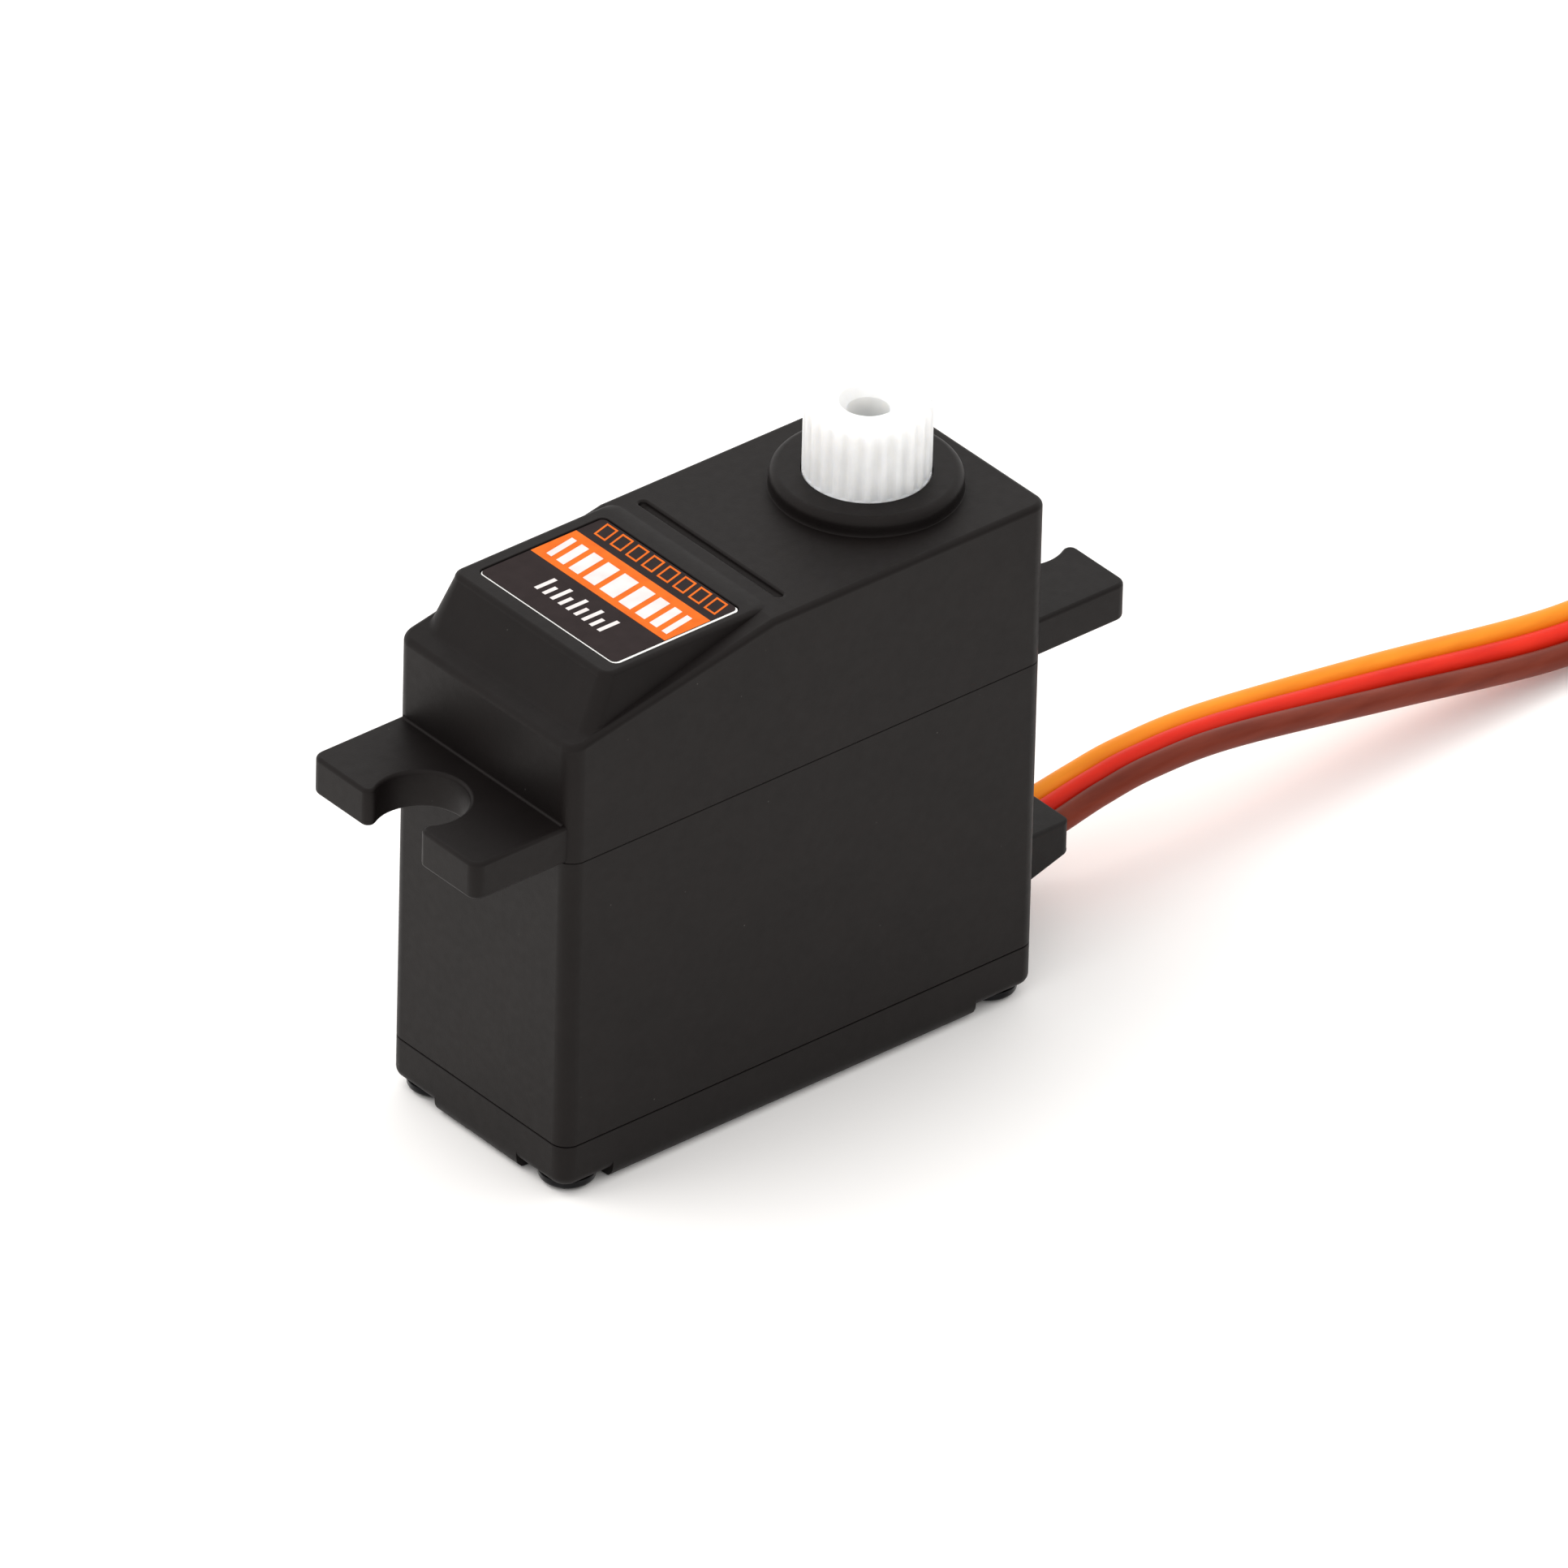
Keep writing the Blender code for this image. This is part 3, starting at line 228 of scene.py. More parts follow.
def arc(centre_x, centre_y, radius, start, end, steps):
    points = []
    for i in range(steps + 1):
        angle = start + (end - start) * i / steps
        points.append((centre_x + radius * math.cos(angle), centre_y + radius * math.sin(angle)))
    return points


def circle(centre_x, centre_y, radius, steps):
    return arc(centre_x, centre_y, radius, 0, TURN * (steps - 1) / steps, steps - 1)


def rounded_rectangle(x0, x1, y0, y1, radius, steps=CORNER_STEPS):
    """An anticlockwise outline from the +X +Y corner; radius is one number or one per corner."""
    radii = radius if isinstance(radius, tuple) else (radius,) * 4
    quarter = math.pi / 2
    points = []
    for turn, size in enumerate(radii):
        x = x1 - size if turn in (0, 3) else x0 + size
        y = y1 - size if turn in (0, 1) else y0 + size
        points += arc(x, y, size, turn * quarter, (turn + 1) * quarter, steps)
    return points


def rectangle(x0, x1, y0, y1):
    return [(x1, y1), (x0, y1), (x0, y0), (x1, y0)]


def case_outline(inset=0.0):
    return inset_rectangle(CASE_LEFT, CASE_RIGHT, -CASE_HALF_WIDTH, CASE_HALF_WIDTH, CASE_CORNER, inset)


def inset_rectangle(x0, x1, y0, y1, radius, inset, steps=CORNER_STEPS):
    """A rounded rectangle moved inwards by inset, or outwards if it is negative."""
    return rounded_rectangle(x0 + inset, x1 - inset, y0 + inset, y1 - inset, radius - inset, steps)


def moved_inwards(outline, distance):
    """An anticlockwise outline with each side moved inwards by distance."""
    moved = []
    for i, here in enumerate(outline):
        before, after = outline[i - 1], outline[(i + 1) % len(outline)]
        first = (Vector(here) - Vector(before)).normalized()
        second = (Vector(after) - Vector(here)).normalized()
        inward = Vector((-first.y - second.y, first.x + second.x))
        moved.append(tuple(Vector(here) + inward * (2 * distance / inward.length_squared)))
    return moved


def quarter_round(size, steps=5):
    """(inset, drop) pairs round an edge, from its side to its face."""
    pairs = []
    for i in range(steps + 1):
        angle = math.pi / 2 * i / steps
        pairs.append((size * (1 - math.cos(angle)), size * (1 - math.sin(angle))))
    return pairs


# ---------------------------------------------------------------- meshes


def skin(loops, closed_ends=True):
    """A mesh through loops of 3-D points that all have the same count."""
    mesh = bmesh.new()
    rings = [[mesh.verts.new(point) for point in loop] for loop in loops]
    count = len(rings[0])
    pairs = list(zip(rings, rings[1:]))
    if closed_ends:
        mesh.faces.new(rings[0])
        mesh.faces.new(rings[-1])
    else:
        pairs.append((rings[-1], rings[0]))
    for lower, upper in pairs:
        for i in range(count):
            j = (i + 1) % count
            mesh.faces.new((lower[i], lower[j], upper[j], upper[i]))
    bmesh.ops.recalc_face_normals(mesh, faces=mesh.faces)
    return mesh


def upright(sections):
    """A solid through horizontal outlines, each given as (outline, z)."""
    return skin([[(x, y, z) for x, y in outline] for outline, z in sections])


def prism(outline, z0, z1):
    return upright([(outline, z0), (outline, z1)])


def block(x0, x1, y0, y1, z0, z1):
    return prism(rectangle(x0, x1, y0, y1), z0, z1)


def rounded_slab(outline, z0, z1, edge):
    """A flat plate of any anticlockwise outline with its upper and lower edges rounded."""
    rounding = quarter_round(edge)
    sections = [(moved_inwards(outline, inset), z0 + drop) for inset, drop in reversed(rounding)]
    sections += [(moved_inwards(outline, inset), z1 - drop) for inset, drop in rounding]
    return upright(sections)


def case_block(z0, z1, low_edge, high_edge):
    """A slice of the case with its two rims rounded."""
    sections = [(case_outline(inset), z0 + drop) for inset, drop in reversed(quarter_round(low_edge))]
    sections += [(case_outline(inset), z1 - drop) for inset, drop in quarter_round(high_edge)]
    return upright(sections)


def sunken(rectangle_sides, corner, mouth, floor, rim, floor_round=0.0):
    """The shape of a recess: a rounded floor edge, straight sides and a rim that flares open."""
    out = math.copysign(1, mouth - floor)
    sections = []
    if floor_round:
        for inset, rise in reversed(quarter_round(floor_round)):
            sections.append((inset_rectangle(*rectangle_sides, corner, inset), floor + out * rise))
    else:
        sections.append((inset_rectangle(*rectangle_sides, corner, 0), floor))
    for inset, rise in quarter_round(rim):
        sections.append((inset_rectangle(*rectangle_sides, corner, -inset), mouth - out * rise))
    flared = inset_rectangle(*rectangle_sides, corner, -rim)
    sections.append((flared, mouth + out * OPEN_PAST))
    return upright(sections)


def lying_prism(outline, y0, y1):
    """An outline of (x, z) points drawn out along Y."""
    return skin([[(x, y, z) for x, z in outline] for y in (y0, y1)])


def turned(profile, centre_x=0.0, centre_y=0.0, steps=64):
    """A solid of revolution from (radius, z) pairs, bottom to top."""
    return upright([(circle(centre_x, centre_y, radius, steps), z) for radius, z in profile])


def cylinder(x, y, radius, z0, z1, steps=48):
    return turned([(radius, z0), (radius, z1)], x, y, steps)


def piece(name, mesh, sharp_degrees=30):
    """A smooth-shaded object from a mesh in millimetres."""
    bmesh.ops.scale(mesh, verts=mesh.verts, vec=(MM, MM, MM))
    data = bpy.data.meshes.new(name)
    mesh.to_mesh(data)
    mesh.free()
    data.shade_smooth()
    data.set_sharp_from_angle(angle=math.radians(sharp_degrees))
    made = bpy.data.objects.new(name, data)
    bpy.context.scene.collection.objects.link(made)
    return made


def settle(target):
    """Replace an object's mesh by its evaluated one and drop its modifiers."""
    bpy.context.view_layer.update()
    graph = bpy.context.evaluated_depsgraph_get()
    result = bpy.data.meshes.new_from_object(target.evaluated_get(graph))
    target.modifiers.clear()
    target.data = result


def combine(target, mesh, operation):
    tool = piece("tool", mesh)
    modifier = target.modifiers.new(operation, "BOOLEAN")
    modifier.operation = operation
    modifier.solver = "EXACT"
    modifier.object = tool
    settle(target)
    bpy.data.objects.remove(tool, do_unlink=True)


def cut(target, *tools):
    for tool in tools:
        combine(target, tool, "DIFFERENCE")


def join(target, *tools):
    for tool in tools:
        combine(target, tool, "UNION")


def merge_flat_faces(target, degrees=0.4):
    """Take out the edges a Boolean leaves inside flat faces."""
    mesh = bmesh.new()
    mesh.from_mesh(target.data)
    bmesh.ops.remove_doubles(mesh, verts=mesh.verts, dist=2e-7)
    bmesh.ops.dissolve_limit(
        mesh, angle_limit=math.radians(degrees), verts=mesh.verts, edges=mesh.edges
    )
    mesh.to_mesh(target.data)
    mesh.free()


def round_edges(target, width_of, segments=3, sharpest_degrees=20):
    """Round the edges of a mesh. width_of(middle, edge) gives each edge's width, or 0."""
    merge_flat_faces(target)
    mesh = bmesh.new()
    mesh.from_mesh(target.data)
    widths = {}
    for edge in mesh.edges:
        if len(edge.link_faces) != 2 or edge.calc_face_angle(0) < math.radians(sharpest_degrees):
            continue
        middle = (edge.verts[0].co + edge.verts[1].co) / 2 / MM
        width = width_of(middle, edge)
        if width > 0:
            widths[edge.index] = width
    widest = max(widths.values())
    layer = mesh.edges.layers.float.new("bevel_weight_edge")
    for edge in mesh.edges:
        edge[layer] = widths.get(edge.index, 0) / widest
    mesh.to_mesh(target.data)
    mesh.free()
    bevel = target.modifiers.new("rounding", "BEVEL")
    bevel.limit_method = "WEIGHT"
    bevel.width = widest * MM
    bevel.segments = segments
    bevel.use_clamp_overlap = False
    bevel.miter_outer = "MITER_ARC"
    bevel.loop_slide = False
    settle(target)


def smooth(target, sharp_degrees=30):
    """Smooth shading that keeps flat faces flat."""
    target.data.shade_smooth()
    target.data.set_sharp_from_angle(angle=math.radians(sharp_degrees))
    weighted = target.modifiers.new("weighted_normals", "WEIGHTED_NORMAL")
    weighted.keep_sharp = True
    weighted.weight = 80


def near(value, other, within=0.03):
    return abs(value - other) < within


def screw_places():
    return [(screw.x, screw.y) for screw in SCREWS]


# ---------------------------------------------------------------- materials


class Paint:
    """A Principled material and short ways to add procedural nodes to it."""

    def __init__(self, name):
        self.material = bpy.data.materials.new(name)
        self.material.use_nodes = True
        self.nodes = self.material.node_tree.nodes
        self.links = self.material.node_tree.links
        self.shader = self.nodes["Principled BSDF"]
        self.place = self.nodes.new("ShaderNodeTexCoord").outputs["Object"]

    def set(self, **values):
        for key, value in values.items():
            self.shader.inputs[key.replace("_", " ")].default_value = value

    def stretched(self, scale):
        """Object coordinates scaled differently along each axis."""
        mapping = self.nodes.new("ShaderNodeMapping")
        mapping.inputs["Scale"].default_value = scale
        self.links.new(self.place, mapping.inputs["Vector"])
        return mapping.outputs["Vector"]

    def noise(self, size_mm, detail=2.0, place=None, roughness=0.5):
        """A noise value whose features are about size_mm across."""
        node = self.nodes.new("ShaderNodeTexNoise")
        node.inputs["Scale"].default_value = 1 / (size_mm * MM)
        node.inputs["Detail"].default_value = detail
        node.inputs["Roughness"].default_value = roughness
        self.links.new(place or self.place, node.inputs["Vector"])
        return node.outputs["Fac"]

    def cells(self, size_mm):
        """Distance to the nearest of scattered points about size_mm apart."""
        node = self.nodes.new("ShaderNodeTexVoronoi")
        node.inputs["Scale"].default_value = 1 / (size_mm * MM)
        self.links.new(self.place, node.inputs["Vector"])
        return node.outputs["Distance"]

    def colours(self, value, stops):
        """A colour ramp over value; stops are (position, (r, g, b))."""
        ramp = self.nodes.new("ShaderNodeValToRGB")
        elements = ramp.color_ramp.elements
        while len(elements) < len(stops):
            elements.new(0.5)
        for element, (position, colour) in zip(elements, stops):
            element.position = position
            element.color = (*colour, 1.0)
        self.links.new(value, ramp.inputs["Fac"])
        return ramp.outputs["Color"]

    def spread(self, value, low, high):
        """value from 0..1 mapped to low..high."""
        node = self.nodes.new("ShaderNodeMapRange")
        node.inputs["To Min"].default_value = low
        node.inputs["To Max"].default_value = high
        self.links.new(value, node.inputs["Value"])
        return node.outputs["Result"]

    def mixed(self, first, second, factor):
        node = self.nodes.new("ShaderNodeMixRGB")
        for value, socket in ((factor, "Fac"), (first, "Color1"), (second, "Color2")):
            if isinstance(value, bpy.types.NodeSocket):
                self.links.new(value, node.inputs[socket])
            elif isinstance(value, tuple):
                node.inputs[socket].default_value = (*value, 1.0)
            else:
                node.inputs[socket].default_value = value
        return node.outputs["Color"]

    def bump(self, *layers):
        """Stack bump layers, each (height socket, height in mm, strength)."""
        normal = None
        for height, depth_mm, strength in layers:
            node = self.nodes.new("ShaderNodeBump")
            node.inputs["Distance"].default_value = depth_mm * MM
            node.inputs["Strength"].default_value = strength
            self.links.new(height, node.inputs["Height"])
            if normal is not None:
                self.links.new(normal, node.inputs["Normal"])
            normal = node.outputs["Normal"]
        self.links.new(normal, self.shader.inputs["Normal"])

    def drive(self, socket, value):
        self.links.new(value, self.shader.inputs[socket])


def moulded_nylon(name, dark, light, roughness, grain_mm=0.09, grain_depth=0.006):
    """Black moulded plastic with a fine eroded texture, faint mottling and a few dust specks."""
    paint = Paint(name)
    mottle = paint.colours(paint.noise(2.6, 4.0), ((0.3, dark), (0.7, light)))
    speck = paint.colours(paint.cells(1.7), ((0.0, (1, 1, 1)), (0.03, (0, 0, 0))))
    dusty = paint.mixed(mottle, (0.06, 0.056, 0.052), speck)
    paint.shader.inputs["Specular IOR Level"].default_value = 0.175
    paint.shader.inputs["Specular Tint"].default_value = (1.0, 0.95, 0.92, 1.0)
    paint.drive("Base Color", dusty)
    paint.drive("Roughness", paint.spread(paint.noise(0.5, 3.0), roughness - 0.05, roughness + 0.07))
    paint.bump(
        (paint.noise(1.4, 2.0), 0.02, 0.12),
        (paint.noise(grain_mm, 2.0), grain_depth, 0.55),
    )
    return paint.material


def white_nylon():
    paint = Paint("white_nylon_look")
    cloud = paint.noise(1.2, 3.0)
    paint.drive("Base Color", paint.colours(cloud, ((0.3, (0.73, 0.735, 0.735)), (0.7, (0.8, 0.805, 0.805)))))
    paint.set(
        Subsurface_Weight=0.75,
        Subsurface_Scale=0.0014,
        Subsurface_Radius=(1.0, 0.95, 0.85),
        IOR=1.53,
    )
    paint.drive("Roughness", paint.spread(paint.noise(0.35, 3.0), 0.3, 0.5))
    paint.bump((paint.noise(0.16, 3.0), 0.012, 0.6), (paint.noise(0.8, 2.0), 0.02, 0.3))
    return paint.material


def film(name, first, second, roughness):
    """Printed label film with a faint ripple."""
    paint = Paint(name)
    paint.set(Specular_IOR_Level=0.07)
    paint.drive("Base Color", paint.colours(paint.noise(0.8, 3.0), ((0.3, first), (0.7, second))))
    paint.drive("Roughness", paint.spread(paint.noise(0.25, 3.0), roughness, roughness + 0.1))
    paint.bump((paint.noise(1.6, 2.0), 0.015, 0.25))
    return paint.material


def insulation(name, first, second):
    """Soft wire insulation, drawn lengthwise."""
    paint = Paint(name)
    drawn = paint.stretched((0.12, 1.0, 1.0))
    paint.drive(
        "Base Color", paint.colours(paint.noise(0.6, 3.0, drawn), ((0.3, first), (0.7, second)))
    )
    paint.drive("Roughness", paint.spread(paint.noise(0.3, 3.0, drawn), 0.34, 0.5))
    paint.set(IOR=1.52, Specular_IOR_Level=0.12)
    paint.bump((paint.noise(0.2, 2.0, drawn), 0.006, 0.4), (paint.noise(2.0, 2.0), 0.03, 0.2))
    return paint.material


def metal(name, first, second, roughness, grain=(1.0, 1.0, 1.0), grain_depth=0.003):
    """Metal with fine drawn or turned marks along the axis with the smallest grain scale."""
    paint = Paint(name)
    marks = paint.stretched(grain)
    paint.set(Metallic=1.0)
    paint.drive("Base Color", paint.colours(paint.noise(0.9, 3.0), ((0.3, first), (0.7, second))))
    paint.drive("Roughness", paint.spread(paint.noise(0.15, 4.0, marks), roughness, roughness + 0.18))
    paint.bump((paint.noise(0.12, 3.0, marks), grain_depth, 0.5))
    return paint.material


def plain_plastic(name, first, second, roughness, grain_mm=0.12):
    paint = Paint(name)
    paint.drive("Base Color", paint.colours(paint.noise(1.5, 3.0), ((0.3, first), (0.7, second))))
    paint.drive("Roughness", paint.spread(paint.noise(0.4, 3.0), roughness, roughness + 0.12))
    paint.bump((paint.noise(grain_mm, 2.0), 0.005, 0.5))
    return paint.material


def laminate():
    """Solder mask over copper tracks."""
    paint = Paint("laminate_look")
    tracks = paint.colours(
        paint.cells(1.3), ((0.30, (0.012, 0.12, 0.05)), (0.34, (0.02, 0.2, 0.08)))
    )
    paint.drive("Base Color", tracks)
    paint.set(Coat_Weight=0.3, Coat_Roughness=0.2)
    paint.drive("Roughness", paint.spread(paint.noise(0.4, 3.0), 0.35, 0.5))
    paint.bump((paint.cells(1.3), 0.02, 0.3))
    return paint.material


def ferrite():
    return plain_plastic("ferrite_look", (0.05, 0.05, 0.055), (0.09, 0.09, 0.095), 0.6, 0.06)


# ---------------------------------------------------------------- case


def lug_outline(side_x, outward):
    """A lug seen from above, with its round notch open at the tip; anticlockwise."""
    reach = TOP.x1 - CASE_RIGHT
    half, corner, mouth = LUG_HALF_WIDTH, LUG_CORNER, NOTCH_MOUTH_ROUND
    quarter = math.pi / 2
    notch_u = reach - NOTCH_INSET
    mouth_u = reach - mouth
    mouth_v = math.sqrt((NOTCH_RADIUS + mouth) ** 2 - (mouth_u - notch_u) ** 2)
    lean = math.atan2(mouth_v, mouth_u - notch_u)
    points = [(-LUG_ROOT, -half)]
    points += arc(reach - corner, corner - half, corner, -quarter, 0, 6)
    points += arc(mouth_u, -mouth_v, mouth, 0, math.pi - lean, 5)
    points += arc(notch_u, 0, NOTCH_RADIUS, -lean, lean - TURN, 48)[1:-1]
    points += arc(mouth_u, mouth_v, mouth, math.pi + lean, TURN, 5)
    points += arc(reach - corner, half - corner, corner, 0, quarter, 6)
    points.append((-LUG_ROOT, half))
    placed = [(side_x + outward * u, v) for u, v in points]
    return placed if outward > 0 else placed[::-1]


def lug_fillet(side_x, outward):
    """The small hollow curve where the top of a lug meets the end wall."""
    size = LUG_FILLET
    outline = [(side_x - outward * LUG_ROOT, LUG_TOP + size), (side_x - outward * LUG_ROOT, LUG_TOP - size)]
    outline.append((side_x + outward * size, LUG_TOP - size))
    for inset, drop in quarter_round(size):
        outline.append((side_x + outward * drop, LUG_TOP + inset))
    outline.append((side_x, LUG_TOP + size + 0.02))
    half = LUG_HALF_WIDTH - LUG_EDGE
    return lying_prism(outline, -half, half)


def top_height(x):
    """Height of the case's top: the deck, or the ramp on the nose."""
    slope = (DECK_Z - RAMP_END_Z) / (RAMP_START_X - CASE_LEFT)
    return DECK_Z - slope * max(0.0, RAMP_START_X - x)


def creased_outline(inset):
    """The case outline with a point on each long side where the deck meets the ramp."""
    corners = case_outline(inset)
    half = len(corners) // 2
    points = []
    for side in (corners[:half], corners[half:]):
        middle = half // 2
        points += side[:middle] + [(RAMP_START_X, side[middle][1])] + side[middle:]
    return points


def crown():
    """The outside of the top case, with one rounded edge round both the deck and the ramp."""
    loops = []
    for inset, drop in reversed(quarter_round(SEAM_EDGE)):
        loops.append([(x, y, TOP.z0 + drop) for x, y in creased_outline(inset)])
    for inset, drop in quarter_round(DECK_EDGE, 6):
        loops.append([(x, y, top_height(x) - drop) for x, y in creased_outline(inset)])
    mesh = skin(loops)
    crease = [v for v in mesh.verts if near(v.co.x, RAMP_START_X, 1e-4) and near(v.co.z, DECK_Z, 1e-4)]
    bmesh.ops.connect_verts(mesh, verts=crease)
    return mesh


def pad_wall_point(face, foot, height):
    """The point of the pad's sloping side at a height; face and foot are its ends."""
    wall_top = PAD_TOP - PAD_EDGE
    part = (wall_top - height) / (wall_top - PAD_FOOT_Z)
    return Vector((*face, wall_top)).lerp(Vector((*foot, PAD_FOOT_Z)), part)


def pad_column(face, foot):
    """Points up the pad's side at one place: buried foot, hollow fillet and sloping wall."""
    wall_top = PAD_TOP - PAD_EDGE
    meet = Vector((*face, wall_top))
    for _ in range(8):
        meet = pad_wall_point(face, foot, min(top_height(meet.x), wall_top - 0.05))
    room = CASE_HALF_WIDTH - DECK_EDGE - abs(meet.y)
    size = max(0.03, min(PAD_FILLET, room, 0.6 * (wall_top - top_height(meet.x))))
    outward = Vector((foot[0] - face[0], foot[1] - face[1], 0)).normalized()
    start = meet + outward * size
    start.z = min(top_height(start.x), wall_top - 0.05) + 0.002
    end = pad_wall_point(face, foot, min(meet.z + size, wall_top - 0.01))
    column = [start - Vector((0, 0, PAD_ROOT))]
    for i in range(6):
        t = i / 5
        column.append(start.lerp(meet, t).lerp(meet.lerp(end, t), t))
    return column


def label_pad():
    """The raised pad: a filleted foot that follows the nose, sloping sides, a round top edge
    and a long, flat run-out into the deck."""
    face = rounded_rectangle(*PAD_FACE, PAD_CORNER)
    foot = rounded_rectangle(*PAD_FOOT, PAD_FOOT_CORNERS)
    columns = [pad_column(*ends) for ends in zip(face, foot)]
    loops = [list(ring) for ring in zip(*columns)]
    x0, x1, y0, y1 = PAD_FACE
    for inset, drop in quarter_round(PAD_EDGE):
        sides = (x0 + inset, x1 - PAD_TAIL * inset, y0 + inset, y1 - inset)
        outline = rounded_rectangle(*sides, PAD_CORNER - inset)
        loops.append([(x, y, PAD_TOP - drop) for x, y in outline])
    return skin(loops)


def collar():
    """The round collar: a flared foot, a steep side and a wide rounded shoulder."""
    flare, shoulder = COLLAR_FLARE, COLLAR_SHOULDER
    profile = [(COLLAR_RADIUS + flare, DECK_Z - 0.4), (COLLAR_RADIUS + flare, DECK_Z + 0.003)]
    for i in range(1, 6):
        angle = math.pi / 2 * i / 5
        profile.append(
            (
                COLLAR_RADIUS + flare * (1 - math.sin(angle)),
                DECK_Z + 0.003 + COLLAR_FLARE_HEIGHT * (1 - math.cos(angle)),
            )
        )
    for i in range(9):
        angle = math.pi / 2 * i / 8
        profile.append(
            (
                COLLAR_RADIUS - shoulder * (1 - math.cos(angle)),
                COLLAR_TOP - shoulder * (1 - math.sin(angle)),
            )
        )
    return turned(profile, steps=120)


def inner_block(z0, z1, left=CASE_LEFT + WALL):
    """The space inside the walls between two heights."""
    return block(left, CASE_RIGHT - WALL, -INNER_HALF_WIDTH, INNER_HALF_WIDTH, z0, z1)


def finish_shell(shell, material, node):
    smooth(shell)
    shell.data.materials.append(material)
    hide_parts(node)
    return shell


def top_case(material):
    shell = piece("top_shell", crown())
    join(shell, label_pad(), collar())
    for side_x, outward in ((CASE_LEFT, -1), (CASE_RIGHT, 1)):
        plate = rounded_slab(lug_outline(side_x, outward), LUG_BOTTOM, LUG_TOP, LUG_EDGE)
        join(shell, plate, lug_fillet(side_x, outward))
    low = TOP.z0 - OPEN_PAST
    cut(
        shell,
        inner_block(low, LOW_CEILING),
        inner_block(low, HIGH_CEILING, HIGH_BAY_LEFT),
        block(*NOSE_BAY, low, HIGH_CEILING - 0.1),
        cylinder(0, 0, COLLAR_BORE, HIGH_CEILING - OPEN_PAST, COLLAR_TOP + OPEN_PAST, 96),
    )
    for x, y in screw_places():
        join(shell, cylinder(x, y, BOSS_RADIUS, TOP.z0 + 0.02, LOW_CEILING + OVERLAP, 32))
        cut(shell, cylinder(x, y, SCREW_HOLE, low, LOW_CEILING - 0.5, 24))
    groove_floor = DECK_Z - GROOVE_DEPTH
    groove = sunken(
        GROOVE_BOX, GROOVE_CORNER, DECK_Z, groove_floor, GROOVE_RIM, GROOVE_FLOOR_ROUND
    )
    gap = LABEL_GAP
    pocket = (LABEL.x0 - gap, LABEL.x1 + gap, LABEL.y0 - gap, LABEL.y1 + gap)
    cut(
        shell,
        sunken(pocket, LABEL_CORNER, PAD_TOP, PAD_TOP - LABEL_DEPTH, LABEL_RIM),
        groove,
        cylinder(PIN_B.x, 0, PIN_SEAT, LOW_CEILING - OPEN_PAST, PIN_B.top, 24),
        cylinder(PIN_A.x, 0, PIN_SEAT, HIGH_CEILING - OPEN_PAST, PIN_A.top, 24),
    )
    return finish_shell(shell, material, "top_case")


def middle_case(material):
    shell = piece("middle_shell", case_block(MIDDLE.z0, MIDDLE_TOP, SEAM_EDGE, SEAM_EDGE))
    low, high = MIDDLE.z0 - OPEN_PAST, MIDDLE.z1 + OPEN_PAST
    cut(shell, inner_block(low, PLATE_BOTTOM))
    for x, y in screw_places():
        join(shell, cylinder(x, y, BOSS_RADIUS, MIDDLE.z0 + 0.02, PLATE_BOTTOM + OVERLAP, 32))
        cut(shell, cylinder(x, y, SCREW_CLEARANCE, low, high, 24))
    join(shell, cylinder(0, 0, AXLE_SEAT_RADIUS, PLATE_BOTTOM + OVERLAP, MIDDLE.z1, 32))
    slot_left = CASE_RIGHT - WALL - OVERLAP
    cut(
        shell,
        cylinder(CAN.x, 0, CAN_BOSS_HOLE, PLATE_BOTTOM - OPEN_PAST, high, 32),
        cylinder(PIN_B.x, 0, PIN_SEAT, PIN_B.bottom, high, 24),
        cylinder(PIN_A.x, 0, PIN_SEAT, PIN_A.bottom, high, 24),
        cylinder(0, 0, AXLE_BORE, PLATE_BOTTOM - OPEN_PAST, high, 24),
        block(slot_left, CASE_RIGHT + OPEN_PAST, *GROMMET_WIDTH, low, GROMMET.z1 + 0.12),
    )
    return finish_shell(shell, material, "middle_case")


def bottom_cover(material):
    foot_top, high = (POCKET_DEPTH + COVER.z1) / 2, COVER.z1 + OPEN_PAST
    shell = piece("cover_shell", case_block(COVER.z0, foot_top, COVER_EDGE, SEAM_EDGE))
    for x, y in screw_places():
        cut(shell, sunken(pocket_sides(x, y), POCKET_CORNER, 0.0, foot_top + OVERLAP, POCKET_RIM))
    join(shell, case_block(POCKET_DEPTH, COVER.z1, POCKET_EDGE, SEAM_EDGE))
    cut(shell, inner_block(COVER_FLOOR, high))
    for x, y in screw_places():
        join(shell, cylinder(x, y, BOSS_RADIUS, COVER_FLOOR - 0.1, COVER.z1 - 0.01, 32))
        cut(shell, cylinder(x, y, SCREW_CLEARANCE, -OPEN_PAST, high, 24))
    return finish_shell(shell, material, "bottom_cover")


def pocket_sides(x, y):
    """x0, x1, y0, y1 of the corner pocket round a screw, running out past the case's sides."""
    out_x, out_y = math.copysign(1, x - CASE_MIDDLE_X), math.copysign(1, y)
    edge_x = CASE_RIGHT if out_x > 0 else CASE_LEFT
    past = 2 * OPEN_PAST
    along = POCKET_RIGHT if out_x > 0 else POCKET_LEFT
    xs = sorted((edge_x - out_x * along, edge_x + out_x * past))
    ys = sorted((out_y * (CASE_HALF_WIDTH - POCKET_ACROSS), out_y * (CASE_HALF_WIDTH + past)))
    return (*xs, *ys)


